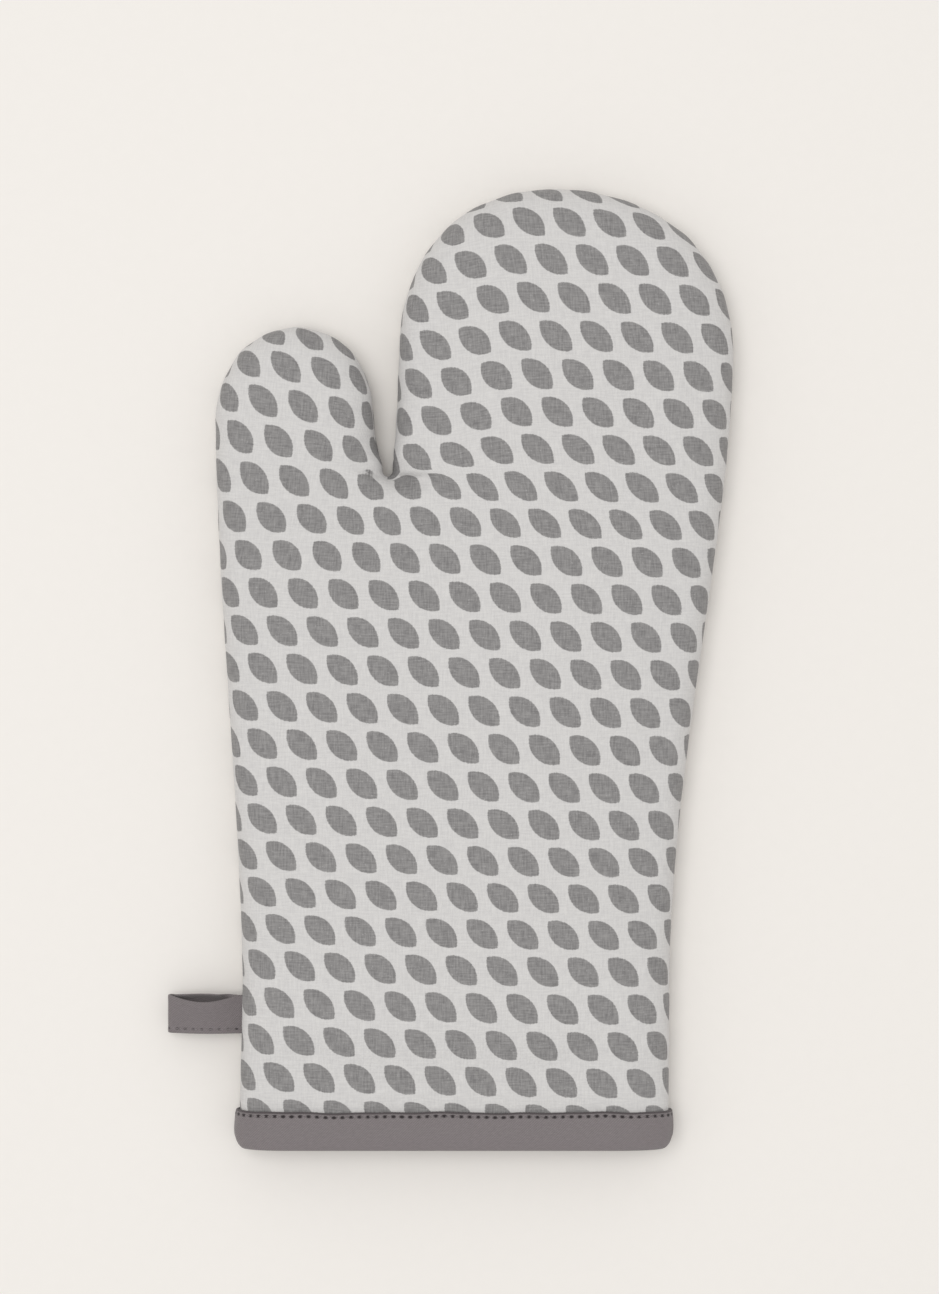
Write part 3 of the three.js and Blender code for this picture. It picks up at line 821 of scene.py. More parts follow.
def mouth_ring(deep_side, deep_up, y, spacing):
    """A closed loop round the mouth for each entry of the depth and y arrays. Returns points with
    one row for each entry, and how far round each column is on the outside."""
    angles, shares = mouth_samples(spacing)
    deep_side, deep_up, y = (np.asarray(v, float)[:, None] for v in (deep_side, deep_up, y))
    columns = []
    for is_front in (True, False):
        height = LEVEL[is_front] + (SEAM_GAP if is_front else 0)
        rising = (RIM - (RIM - deep_side) * np.cos(angles) ** FULLNESS,
                  (height - deep_up) * np.sin(angles) ** FULLNESS)
        falling_angle = math.pi / 2 - angles
        falling = (RIM - (RIM - deep_side) * np.clip(np.cos(falling_angle), 0, 1) ** FULLNESS,
                   (height - deep_up) * np.sin(falling_angle) ** FULLNESS)
        sign = 1 if is_front else -1
        near, far = (-1, 1) if is_front else (1, -1)
        up_x = sleeve_side(y, near) - near * rising[0]
        down_x = sleeve_side(y, far) - far * falling[0]
        start, stop = sleeve_side(y, near) - near * RIM, sleeve_side(y, far) - far * RIM
        span_x = start + (stop - start) * shares
        level = np.broadcast_to(height - deep_up, span_x.shape)
        x = np.hstack([up_x, span_x, down_x])
        z = SEAM + sign * np.hstack([rising[1], level, falling[1]])
        columns.append((x, z))
    x = np.hstack([c[0] for c in columns])
    z = np.hstack([c[1] for c in columns])
    ring = np.stack([x, np.broadcast_to(y, x.shape), settle(np.broadcast_to(y, x.shape), z)], -1)
    return ring, walked(np.vstack([ring[0], ring[0, :1]]))


mouth, mouth_walk = mouth_ring([0], [0], [0], STITCH_PITCH)
print(f"mouth: {mouth.shape[1]} stations, {mouth_walk[-1]:.0f} mm round on the panel's face")

# %% [markdown]
# ## The tape's section
# The strip is pressed in half round the raw edges with its own edges turned under, and one row of
# stitches goes through all of it. It bellies out a little between its fold and the stitches.

# %% Binding tape
def binding_section():
    """The folded strip's outline as (share of the way in, y): up the outside, round the fold and up
    the inside, then back along its inner faces. Also the way along the tape, for its weave."""
    a = np.linspace(0, math.pi / 2, 6)
    fold_out = np.stack([2.2 - 2.2 * np.cos(a), 2.2 - 2.2 * np.sin(a)], 1)
    outer_leg = np.stack([np.zeros(8), np.linspace(BINDING_OUTSIDE - 0.35, 3, 8)], 1)
    floor = np.stack([np.linspace(3.4, 5.0, 2), np.zeros(2)], 1)
    fold_in = np.stack([6.0 + 2.2 * np.sin(a), 2.2 - 2.2 * np.cos(a)], 1)
    inner_leg = np.stack([np.full(5, 8.2), np.linspace(3.2, BINDING_INSIDE - 0.4, 5)], 1)
    tip_in = np.array([[7.95, BINDING_INSIDE], [7.45, BINDING_INSIDE], [7.2, BINDING_INSIDE - 0.4]])
    back = np.array([[7.2, 7.0], [7.2, 2.2], [6.7, 1.0], [4.0, 0.9],
                     [1.5, 1.0], [1.0, 2.2], [1.0, 7.0]])
    tip_out = np.array([[1.0, BINDING_OUTSIDE - 0.4], [0.75, BINDING_OUTSIDE], [0.25, BINDING_OUTSIDE]])
    section = np.vstack([outer_leg, fold_out, floor, fold_in, inner_leg, tip_in, back, tip_out])
    return section, walked(np.vstack([section, section[:1]]))


def binding_ring(section):
    """The section carried round the mouth: one row of points for each of its own, and how far round
    each column is. Columns are a third of a stitch apart, so the tape can dip at each needle hole;
    waves of a quarter millimetre keep its edge from being ruled, and its corners are cut round."""
    share, y = section[:, 0] / section[:, 0].max(), section[:, 1]
    deep_side = -OUT + share * (SIDE_WALL + 2 * OUT)
    deep_up = -OUT + share * (WALL + 2 * OUT)
    outside = share < 0.06
    belly = FLARE * np.sin(np.pi * np.clip(y / BINDING_OUTSIDE, 0, 1)) ** 0.8
    deep_side = deep_side - np.where(outside, belly, 0)
    deep_up = deep_up - np.where(outside, 0.35 * belly, 0)
    ring, walk = mouth_ring(deep_side, deep_up, y, STITCH_PITCH / 3)
    around = walk[:-1]
    pitch = walk[-1] / round(walk[-1] / STITCH_PITCH)
    wave = 0.16 * np.sin(around / 9.3) + 0.12 * np.sin(around / 4.1 + 1) + 0.08 * np.sin(around / 2.3)
    ring[:, :, 1] += wave * smoothstep(6, 13, y)[:, None]
    puff = 0.10 * np.sin(around / 5.3 + 2) + 0.08 * np.sin(around / 3.1)
    hole = (0.5 + 0.5 * np.cos(2 * math.pi * around / pitch)) ** 2
    row = np.exp(-(((y - STITCH_Y) / 0.9) ** 2))
    outward = np.stack([ring[:, :, 0] * 0, ring[:, :, 0] * 0, np.sign(ring[:, :, 2] - SEAM)], -1)
    press = (puff[None] * smoothstep(1, 5, y)[:, None] - row[:, None] * (0.12 + 0.22 * hole[None]))
    on_top = smoothstep(3, 7, np.abs(ring[:, :, 2] - SEAM))
    ring += outward * (press * on_top * np.where(outside, 1, 0)[:, None])[..., None]
    middle_x = (sleeve_side(y, 1) + sleeve_side(y, -1)) / 2
    from_end = CUFF_HALF + OUT - np.abs(ring[:, :, 0] - middle_x[:, None])
    into_corner = np.clip(CORNER - from_end, 0, CORNER)
    lift = CORNER - np.sqrt(np.maximum(CORNER**2 - into_corner**2, 0))
    ring[:, :, 1] += np.minimum(lift, 2.6) * (1 - smoothstep(1.5, 9, y))[:, None]
    return ring, walk


def binding():
    """The binding as a piece, with its way round and along the strip as its flat coordinates. The
    ring closes on itself, so they are given for each face's own corners. Also its length and the
    way round its section."""
    section, along = binding_section()
    ring, walk = binding_ring(section)
    rows, columns = ring.shape[:2]
    ids = np.arange(rows * columns).reshape(rows, columns)
    ids = np.vstack([np.hstack([ids, ids[:, :1]]), np.hstack([ids, ids[:, :1]])[:1]])
    piece = make_piece("cuff_tape", ring.reshape(-1, 3), grid_faces(ids))
    u = np.broadcast_to(walk[None], (rows + 1, columns + 1))
    v = np.broadcast_to(along[:, None], (rows + 1, columns + 1))
    flat = np.stack([u, v], -1)
    quads = np.stack([flat[:-1, :-1], flat[:-1, 1:], flat[1:, 1:], flat[1:, :-1]], 2)
    layer = piece.data.uv_layers.new(name="cloth")
    layer.data.foreach_set("uv", quads.reshape(-1, 2).astype(np.float32).ravel())
    subdivide(piece)
    return piece, walk[-1], along[-1]


cuff_tape, mouth_round, tape_section = binding()
print(f"binding: {mouth_round:.0f} mm round, tape {tape_section / 2:.1f} mm wide before folding")

# %% [markdown]
# ## Stitches
# A lockstitch shows one short thread after another, each dipping into the cloth at both ends. One
# low bead with a few faces is enough for each, because there are hundreds. The beads are placed
# along a path all at once.

# %% Stitches
BEAD_RINGS = np.array([-1.0, -0.75, 0.0, 0.75, 1.0])  # places along half a bead's length
BEAD_SIDES = 6
SIDE_SEAM_IN = 2.3
LINING_SEAM_IN = 6.0


def beads(name, path, up, length, thick, sink):
    """One bead from each point of path to the next: a six-sided spindle, its ring's size the square
    root of a parabola along it, bowed up in the middle and sunk at the ends."""
    start, end = path[:-1], path[1:]
    direction = end - start
    gap = np.linalg.norm(direction, axis=1)[:, None]
    direction = direction / gap
    up = (up[:-1] + up[1:]) / 2
    side_way = np.cross(direction, up)
    side_way /= np.linalg.norm(side_way, axis=1)[:, None]
    up = np.cross(side_way, direction)
    t = BEAD_RINGS
    a = np.arange(BEAD_SIDES) * 2 * math.pi / BEAD_SIDES
    size = np.sqrt(np.clip(1 - t**2, 0.02, 1)) * thick / 2
    centre = (start + end) / 2
    along = centre[:, None] + direction[:, None] * (t[None, :, None] * length / 2)
    along = along + up[:, None] * (sink * (1 - t**2) - sink)[None, :, None]
    ring = (np.cos(a)[None, None, :, None] * side_way[:, None, None]
            + np.sin(a)[None, None, :, None] * up[:, None, None]) * size[None, :, None, None]
    points = (along[:, :, None] + ring).reshape(-1, 3)
    ids = np.arange(len(points)).reshape(len(start), len(t), BEAD_SIDES)
    faces = []
    for k in range(len(t) - 1):
        low, high = ids[:, k], ids[:, k + 1]
        side_quads = np.stack([low, high, np.roll(high, -1, 1), np.roll(low, -1, 1)], -1)
        faces.extend(side_quads.reshape(-1, 4).tolist())
    caps = ids[:, 0].tolist() + ids[:, -1, ::-1].tolist()
    return make_piece(name, points, faces + caps)


def bead_count(piece):
    """How many beads a piece has."""
    return len(piece.data.vertices) // (len(BEAD_RINGS) * BEAD_SIDES)


def spaced_along(path, pitch, closed=False):
    """Points a pitch apart along a path, as a whole number of stitches."""
    if closed:
        path = np.vstack([path, path[:1]])
    walk = walked(path)
    count = max(1, round(walk[-1] / pitch))
    at = np.linspace(0, walk[-1], count + 1)
    return np.stack([np.interp(at, walk, path[:, k]) for k in range(3)], 1)


def away_from_middle(path):
    """Unit directions out of the mouth's ring, for stitches on it."""
    ahead = np.roll(path, -1, 0) - np.roll(path, 1, 0)
    ahead[0], ahead[-1] = path[1] - path[0], path[-1] - path[-2]
    out = np.cross(np.array([0, 1.0, 0]), ahead)
    out /= np.linalg.norm(out, axis=1)[:, None]
    toward = (path - np.array([0, STITCH_Y, SEAM])) * np.array([0.1, 0, 1])
    turn_round = np.sign(np.sum(out * toward, axis=1))
    return out * np.where(turn_round == 0, 1, turn_round)[:, None]


def binding_stitches(name, outside):
    """The row of stitches round the mouth, on the tape's outside or inside the cuff."""
    flare = FLARE * math.sin(math.pi * STITCH_Y / BINDING_OUTSIDE) ** 0.8
    side_depth, up_depth = SIDE_WALL + OUT, WALL + OUT
    if outside:
        side_depth, up_depth = -OUT - flare, -OUT - 0.35 * flare
    off = -0.02 if outside else 0.05
    ring, _ = mouth_ring([side_depth - off], [up_depth - off], [STITCH_Y], STITCH_PITCH / 2)
    path = spaced_along(ring[0], STITCH_PITCH, closed=True)
    out = away_from_middle(path) * (1 if outside else -1)
    return beads(name, path, out, STITCH_PITCH * 0.80, 0.42, 0.22)


def seam_stitches(name, inset, is_front):
    """A row of stitches along the side seam, inside the mitt, on the front's or the back's face."""
    sign = 1 if is_front else -1
    plan = rim_at + rim_in * inset
    z = settle(plan[:, 1], SEAM + sign * (SEAM_GAP + CLOTH + 0.22))
    path = spaced_along(np.column_stack([plan, z]), STITCH_PITCH)
    up = np.tile([0, 0, float(sign)], (len(path), 1))
    return beads(name, path, up, STITCH_PITCH * 0.85, 0.36, 0.12)


outside_stitches = binding_stitches("binding_needle_stitches", True)
inside_stitches = binding_stitches("binding_bobbin_stitches", False)
seam_rows = {
    "side_seam_needle": seam_stitches("side_seam_needle_stitches", SIDE_SEAM_IN, True),
    "side_seam_bobbin": seam_stitches("side_seam_bobbin_stitches", SIDE_SEAM_IN, False),
    "lining_seam_needle": seam_stitches("lining_seam_needle_stitches", LINING_SEAM_IN, True),
    "lining_seam_bobbin": seam_stitches("lining_seam_bobbin_stitches", LINING_SEAM_IN, False),
}
print("binding stitches:", bead_count(outside_stitches), "in each row")

# %% [markdown]
# ## The hanging loop
# The loop is a narrow strip with its long edges turned in and sewn, folded in half and caught in
# the side seam. It is drawn as a path seen from the side, out along the upper ply, round the fold
# and back along the lower one, with a flat rounded section carried along it. The upper ply's far
# edge bows down, which opens the dark gap that one sees from above.

# %% Loop strip
LOOP_Y = 45.8  # middle of the strip
LOOP_WIDTH = 13.2
LOOP_REACH = 25.0  # from the pivot to the end of the fold
PLY = 0.8  # two thicknesses of thin cloth
FOLD = 2.4  # outside radius of the fold
OPEN = 6.4  # how far the two plies bow apart
DROOP = math.radians(8)  # below level
LOOP_STITCH_IN = 1.6  # from the strip's near edge
LOOP_PITCH = 3.0
loop_pivot = pivot / MM - CUFF


def loop_side(extra):
    """[out, up] points from the pivot: the upper ply's middle line from the root to the fold, plus
    extra on its thickness. Lens-shaped: half the gap is a sine to the power 1.2."""
    t = np.linspace(0, 1, 30)
    belly = np.sin(math.pi * t) ** 1.2 * OPEN / 2
    half = PLY / 2 + (FOLD - PLY) * t**2 + belly * (1 - 0.25 * t) + extra
    a = np.linspace(math.pi / 2, -math.pi / 2, 14)[1:-1]
    fold = FOLD - PLY / 2 + extra
    arc = np.stack([LOOP_REACH - FOLD + fold * np.cos(a), fold * np.sin(a)], 1)
    top = np.stack([(LOOP_REACH - FOLD) * t, half], 1)
    return np.vstack([top, arc, top[::-1] * [1, -1]])


def drooped(out, up):
    """Turns [out, up] from the pivot down by DROOP, to x and z."""
    return (loop_pivot[0] - out * math.cos(DROOP) - up * math.sin(DROOP),
            loop_pivot[2] - out * math.sin(DROOP) + up * math.cos(DROOP))


def strip_path():
    """Middle line of the whole strip in x and z: the sewn end, the upper ply, the fold, the lower
    ply and the other sewn end, with the two ends pressed together in the seam."""
    around = loop_side(0)
    x, z = drooped(around[:, 0], around[:, 1])
    inner = np.linspace(tab_high.x / MM - CUFF[0], loop_pivot[0] + 0.6, 8)
    sewn = np.full(8, 0.27)
    path_x = np.concatenate([inner, x, inner[::-1]])
    path_z = np.concatenate([loop_pivot[2] + sewn, z, loop_pivot[2] - sewn])
    path = np.stack([path_x, path_z], 1)
    kernel = np.ones(3) / 3
    inside = np.stack([np.convolve(path[:, k], kernel, "valid") for k in (0, 1)], 1)
    return resampled(np.vstack([path[:1], inside, path[-1:]]), np.ones(96))


def square_to(path):
    """Unit directions at right angles to a path in x and z."""
    forward = np.gradient(path, axis=0)
    forward /= np.linalg.norm(forward, axis=1)[:, None]
    return np.stack([forward[:, 1], -forward[:, 0]], 1)


def strip_section():
    """The strip's flat section: how far across it each point is, as a share of half its width, and
    how far out on its thickness, 1 on one face and -1 on the other, with its edges rounded."""
    flat_run = np.linspace(-0.95, 0.95, 22)
    across = np.concatenate([flat_run, [0.985, 1.0, 0.985], flat_run[::-1], [-0.985, -1.0, -0.985]])
    thin = np.concatenate([np.ones(22), [0.7, 0.0, -0.7], -np.ones(22), [-0.7, 0.0, 0.7]])
    return across, thin


def loop_strip():
    """The strip: a flat section with round edges carried along the path. Across the strip, the far
    edge of the upper ply bows towards the near one, and that of the lower ply curls up, so that one
    looks down between them. Both edges are a little thicker, since the cloth is turned in there."""
    path = strip_path()
    across_it = square_to(path)
    walk = walked(path)
    share = walk / walk[-1]
    upper = 1 - smoothstep(0.42, 0.56, share)
    reach = np.clip((loop_pivot[0] - path[:, 0]) / LOOP_REACH, 0, 1)
    bow = np.sin(math.pi * np.clip(reach * 1.02, 0, 1)) ** 1.1
    across, thin = strip_section()
    thickness = np.where((share < 0.11) | (share > 0.89), 0.5, PLY)
    thickness = np.convolve(np.pad(thickness, 3, "edge"), np.ones(7) / 7, "valid")
    v = across[None] * LOOP_WIDTH / 2
    hem = 1 + 0.22 * smoothstep(0.55, 0.85, np.abs(across))[None] - 0.1
    far_edge = smoothstep(-0.6, 1.0, across)[None]
    y = loop_pivot[1] + v - far_edge * (bow * upper * 2.3)[:, None]
    lift = thin[None] * thickness[:, None] / 2 * hem
    waves = 0.10 * np.sin(walk / 2.9) * smoothstep(0.1, 0.3, reach)
    lift = lift + waves[:, None] * np.abs(across)[None] ** 3
    x = path[:, :1] + across_it[:, :1] * lift
    z = path[:, 1:] + across_it[:, 1:] * lift
    rim = smoothstep(0.70, 1.0, across)[None]
    gap = 2 * (loop_pivot[2] - path[:, 1] - 3.2 * reach) * (1 - upper) * smoothstep(0.08, 0.3, reach)
    rise = rim * (np.clip(gap, 0, 6) * (1 - smoothstep(0.85, 0.98, reach)))[:, None] * 0.9
    y = y + rim * (bow * (1 - upper) * 0.5)[:, None]
    points = np.stack([x, np.broadcast_to(y, x.shape), z + rise], -1)
    count, around = x.shape
    ids = np.arange(count * around).reshape(count, around)
    ids = np.hstack([ids, ids[:, :1]])
    faces = grid_faces(ids).tolist() + [ids[0, :-1].tolist()[::-1], ids[-1, :-1].tolist()]
    flat = np.stack([np.repeat(walk, around), np.broadcast_to(v, x.shape).ravel()], 1)
    return make_piece("loop_strip", points.reshape(-1, 3), faces, flat), walk[-1]


strip, strip_length = loop_strip()
print(f"loop strip {strip_length:.0f} mm long, {LOOP_WIDTH:.1f} mm wide")

# %% [markdown]
# ## The loop's stitches
# The strip is closed along one long edge by a row of stitches, so the same row shows on the outside
# of both plies. It stops just before the seam, where the ply goes in between the panels.

# %% Loop stitches
def loop_stitches():
    """The row that closes the strip's turned-in edge, on the outside of both plies."""
    path = strip_path()
    out = square_to(path)
    fold = int(np.argmin(path[:, 0]))
    out = out * (1.0 if out[fold, 0] < 0 else -1.0)
    clear = loop_pivot[0] - path[:, 0] > 1.6
    row = (path + out * (PLY / 2 + 0.16))[clear]
    row_y = np.full(len(row), LOOP_Y - LOOP_WIDTH / 2 + LOOP_STITCH_IN)
    ends = spaced_along(np.column_stack([row[:, 0], row_y, row[:, 1]]), LOOP_PITCH)
    out = np.column_stack([out[clear, 0], np.zeros(len(row)), out[clear, 1]])
    at = np.linspace(0, len(out) - 1, len(ends))
    out = np.stack([np.interp(at, np.arange(len(out)), out[:, k]) for k in range(3)], 1)
    return beads("loop_stitches", ends, out, LOOP_PITCH * 0.8, 0.36, 0.12)


strip_stitches = loop_stitches()
print("loop stitches:", bead_count(strip_stitches))

# %% [markdown]
# ## Materials
# All of this is cotton, so nothing is glossy: each material is rough, with a faint sheen from the
# fibre ends. What tells them apart is colour and the height of the weave. Patterns read the cloth's
# own flat coordinates in millimetres, so they bend with the cloth.

# %% Material helpers
def hex_colour(code):
    """An sRGB hex colour as linear light, with an alpha of 1."""
    value = np.array([int(code[i:i + 2], 16) for i in (1, 3, 5)]) / 255
    light = np.where(value <= 0.04045, value / 12.92, ((value + 0.055) / 1.055) ** 2.4)
    return (*light.tolist(), 1.0)


def add_node(material, kind, inputs=(), output=0, **settings):
    """Adds a node, makes its settings, feeds its inputs with numbers or other nodes' sockets, and
    returns one of its output sockets."""
    node = material.node_tree.nodes.new("ShaderNode" + kind)
    for key, value in settings.items():
        setattr(node, key, value)
    for key, value in dict(inputs).items():
        if isinstance(value, bpy.types.NodeSocket):
            material.node_tree.links.new(value, node.inputs[key])
        else:
            node.inputs[key].default_value = value
    return node.outputs[output]


def cloth_material(name, roughness, sheen):
    """A material with a rough cotton shader. Returns it with its shader's node."""
    material = bpy.data.materials.new(name)
    material.use_nodes = True
    shader = material.node_tree.nodes["Principled BSDF"]
    shader.inputs["Roughness"].default_value = roughness
    shader.inputs["IOR"].default_value = 1.5
    shader.inputs["Specular IOR Level"].default_value = 0.25
    shader.inputs["Sheen Weight"].default_value = sheen
    shader.inputs["Sheen Roughness"].default_value = 0.5
    return material, shader


def finish_with(material, shader, colour, height, millimetres):
    """Links the colour, and a height between 0 and 1 that stands for so many millimetres."""
    normal = add_node(material, "Bump", {"Distance": millimetres * MM, "Height": height})
    material.node_tree.links.new(colour, shader.inputs["Base Color"])
    material.node_tree.links.new(normal, shader.inputs["Normal"])


print("cotton grey", [round(v, 3) for v in hex_colour("#8d8687")])

# %% [markdown]
# ## Weaves
# Seen close, woven cotton is a checker of threads over and under, and its threads are uneven along
# their length. Two patterns cover both: a product of two sines, and noise stretched along a thread.

# %% Weaves
def cloth_place(material):
    """The place on the flat cut, in mm, as a vector and as its two numbers."""
    place = add_node(material, "UVMap", uv_map="cloth")
    split = add_node(material, "SeparateXYZ", {0: place}).node
    return place, split.outputs[0], split.outputs[1]


def stretched_noise(material, place, size_u, size_v, detail=2.0):
    """Noise whose lumps are size_u by size_v mm on the cloth, from 0 to 1."""
    size = (1 / size_u, 1 / size_v, 1)
    scaled = add_node(material, "Mapping", {"Vector": place, "Scale": size})
    return add_node(material, "TexNoise", {"Vector": scaled, "Scale": 1.0, "Detail": detail})


def plain_weave(material, u, v, spacing):
    """Over and under of a plain weave: sine of u times sine of v, with a thread each spacing mm,
    brought to between 0 and 1."""
    angle_u = add_node(material, "Math", {0: u, 1: math.pi / spacing}, operation="MULTIPLY")
    angle_v = add_node(material, "Math", {0: v, 1: math.pi / spacing}, operation="MULTIPLY")
    rise_u = add_node(material, "Math", {0: angle_u}, operation="SINE")
    rise_v = add_node(material, "Math", {0: angle_v}, operation="SINE")
    both = add_node(material, "Math", {0: rise_u, 1: rise_v}, operation="MULTIPLY")
    return add_node(material, "Math", {0: both, 1: 0.5, 2: 0.5}, operation="MULTIPLY_ADD")


PRINT_WEAVE = 0.8
LINING_WEAVE = 0.9
TWILL_RIB = 0.9
print(f"threads {PRINT_WEAVE} mm apart on the print, {LINING_WEAVE} on the lining, ribs {TWILL_RIB}")

# %% [markdown]
# ## The print
# The cloth is a pale cotton with a plain printed pattern: one leaf, again and again in level rows,
# with every second row set off by half a step. The leaf is the overlap of two circles. A circle
# through its two tips is known from how far it bulges from the straight line between them.

# %% Rows of leaves
REPEAT = 13.8  # from leaf to leaf along a row
ROW = 12.75
ROW_SHIFT = REPEAT / 2  # odd rows are set off sideways by this
ORIGIN = (10.5, 157.4, 0.0)
ROW_SLOPE = math.radians(0.5)
TIPS = ((1.7, 11.1), (12.1, 1.6))  # of the leaf, from its cell's lower left corner
BULGE = 4.0  # of each side of the leaf


def circle_through(start, end, toward, bulge):
    """Centre and radius of the circle through two tips that bulges toward a side: with half chord h
    and bulge s, the radius is (h^2 + s^2) / 2s."""
    start, end, toward = np.array(start), np.array(end), np.array(toward)
    half = np.linalg.norm(end - start) / 2
    direction = (end - start) / (2 * half)
    out = np.array([-direction[1], direction[0]])
    out = out * np.sign(out @ (toward - start))
    radius = (half**2 + bulge**2) / (2 * bulge)
    return (start + end) / 2 + out * (bulge - radius), radius


def inside_circle(material, place, centre, radius):
    """Distance in from a circle's edge, negative outside it."""
    point = (float(centre[0]), float(centre[1]), 0.0)
    far = add_node(material, "VectorMath", {0: place, 1: point}, 1, operation="DISTANCE")
    return add_node(material, "Math", {0: float(radius), 1: far}, operation="SUBTRACT")


def place_in_cell(material, place):
    """Where in its leaf's cell a place is: how far up its row, and how far along it once the row's
    sideways set-off is taken away."""
    turned = add_node(material, "VectorRotate", {"Vector": place, "Center": ORIGIN, "Angle": ROW_SLOPE},
                      rotation_type="Z_AXIS")
    moved = add_node(material, "VectorMath", {0: turned, 1: ORIGIN}, operation="SUBTRACT")
    split = add_node(material, "SeparateXYZ", {0: moved}).node
    rows_up = add_node(material, "Math", {0: split.outputs[1], 1: ROW}, operation="DIVIDE")
    row = add_node(material, "Math", {0: rows_up}, operation="FLOOR")
    number = add_node(material, "Math", {0: row}, operation="ABSOLUTE")
    odd = add_node(material, "Math", {0: number, 1: 2.0}, operation="MODULO")
    set_off = add_node(material, "Math", {0: odd, 1: ROW_SHIFT}, operation="MULTIPLY")
    along = add_node(material, "Math", {0: split.outputs[0], 1: set_off}, operation="SUBTRACT")
    along = add_node(material, "Math", {0: along, 1: REPEAT}, operation="FLOORED_MODULO")
    up = add_node(material, "Math", {0: row, 1: -ROW, 2: split.outputs[1]}, operation="MULTIPLY_ADD")
    return add_node(material, "CombineXYZ", {0: along, 1: up})


def leaf_rows(material, place):
    """How far inside a printed leaf a place is, in mm: the smaller of how far it is inside the two
    circles, which bulge towards the lower left and the upper right corner of the leaf's cell."""
    cell = place_in_cell(material, place)
    low_side = inside_circle(material, cell, *circle_through(*TIPS, (0, 0), BULGE))
    high_side = inside_circle(material, cell, *circle_through(*TIPS, (REPEAT, ROW), BULGE))
    return add_node(material, "Math", {0: low_side, 1: high_side}, operation="MINIMUM")


_, radius = circle_through(*TIPS, (0, 0), BULGE)
print(f"leaves {REPEAT} mm apart in rows {ROW} mm apart, their sides' radius {radius:.1f} mm")

# %% [markdown]
# ## The printed cloth's finish
# Pigment print lies on top of the threads, so the ink has no shine of its own and is patchy: it
# misses the low spots where threads cross, and its edge follows the threads instead of being sharp.

# %% Printed cotton
def printed_cotton():
    """Plain woven cotton with a pigment print: matt, the ink patchy where threads cross. Threads
    are 0.4 mm apart on the real cloth, and are drawn 0.8 mm apart so that they show."""
    material, shader = cloth_material("printed_plain_weave_cotton", 0.92, 0.12)
    place, u, v = cloth_place(material)
    shake = add_node(material, "TexNoise", {"Vector": place, "Scale": 1.6, "Detail": 1.0}, 1)
    shake = add_node(material, "VectorMath", {0: shake, 1: (0.5, 0.5, 0.5)}, operation="SUBTRACT")
    shaken = add_node(material, "VectorMath", {0: shake, 1: (0.5, 0.5, 0.0), 2: place},
                      operation="MULTIPLY_ADD")
    inside = leaf_rows(material, shaken)
    inked = add_node(material, "MapRange", {0: inside, 1: -0.16, 2: 0.16, 3: 0.0, 4: 1.0})
    weft = stretched_noise(material, place, 4.5, 0.55)
    warp = stretched_noise(material, place, 0.55, 4.5)
    streaks = add_node(material, "Math", {0: weft, 1: warp}, operation="ADD")
    tone = add_node(material, "MapRange", {0: streaks, 1: 0.7, 2: 1.3, 3: 0.0, 4: 1.0})
    ground = add_node(material, "Mix", {0: tone, 6: hex_colour("#cccac9"), 7: hex_colour("#dad8d6")},
                      2, data_type="RGBA")
    ink = add_node(material, "Mix", {0: tone, 6: hex_colour("#7b7979"), 7: hex_colour("#9b9998")},
                   2, data_type="RGBA")
    missed = stretched_noise(material, place, 0.8, 0.8, 3.0)
    specks = add_node(material, "MapRange", {0: missed, 1: 0.60, 2: 0.74, 3: 0.0, 4: 0.55})
    ink = add_node(material, "Mix", {0: specks, 6: ink, 7: hex_colour("#b7b5b4")}, 2, data_type="RGBA")
    colour = add_node(material, "Mix", {0: inked, 6: ground, 7: ink}, 2, data_type="RGBA")
    weave = plain_weave(material, u, v, PRINT_WEAVE)
    threads = add_node(material, "Math", {0: weave, 1: streaks}, operation="ADD")
    uneven = add_node(material, "Math", {0: threads, 1: 0.5}, operation="MULTIPLY")
    finish_with(material, shader, colour, uneven, 0.10)
    return material


finishes = {"print": printed_cotton()}
print("printed cotton:", len(finishes["print"].node_tree.nodes), "nodes")

# %% [markdown]
# ## The other finishes
# Lining, wadding, tape and thread. The tape's ribs slant, which is what makes twill look firmer
# than plain cloth, and each needle hole in it is painted as a short dark dash between two stitches,
# painted shade in the hole.

# %% Lining, wadding, tape and thread
def lining_cotton():
    """Undyed plain cotton, a little coarser: pale, matt and warm. Threads drawn 0.9 mm apart."""
    material, shader = cloth_material("undyed_plain_weave_cotton", 0.94, 0.1)
    place, u, v = cloth_place(material)
    slubs = stretched_noise(material, place, 6.0, 0.6)
    colour = add_node(material, "Mix", {0: slubs, 6: hex_colour("#dcd8d1"), 7: hex_colour("#eeebe5")},
                      2, data_type="RGBA")
    finish_with(material, shader, colour, plain_weave(material, u, v, LINING_WEAVE), 0.12)
    return material


def wadding_fibre():
    """Polyester wadding: white fibres matted by heat, so fluffy that it has no surface to shine."""
    material, shader = cloth_material("matted_polyester_wadding", 1.0, 0.4)
    place = add_node(material, "TexCoord", output=3)
    fluff = add_node(material, "TexNoise", {"Vector": place, "Scale": 900.0, "Detail": 3.0})
    colour = add_node(material, "Mix", {0: fluff, 6: hex_colour("#e8e6e0"), 7: hex_colour("#faf9f6")},
                      2, data_type="RGBA")
    finish_with(material, shader, colour, fluff, 0.5)
    return material


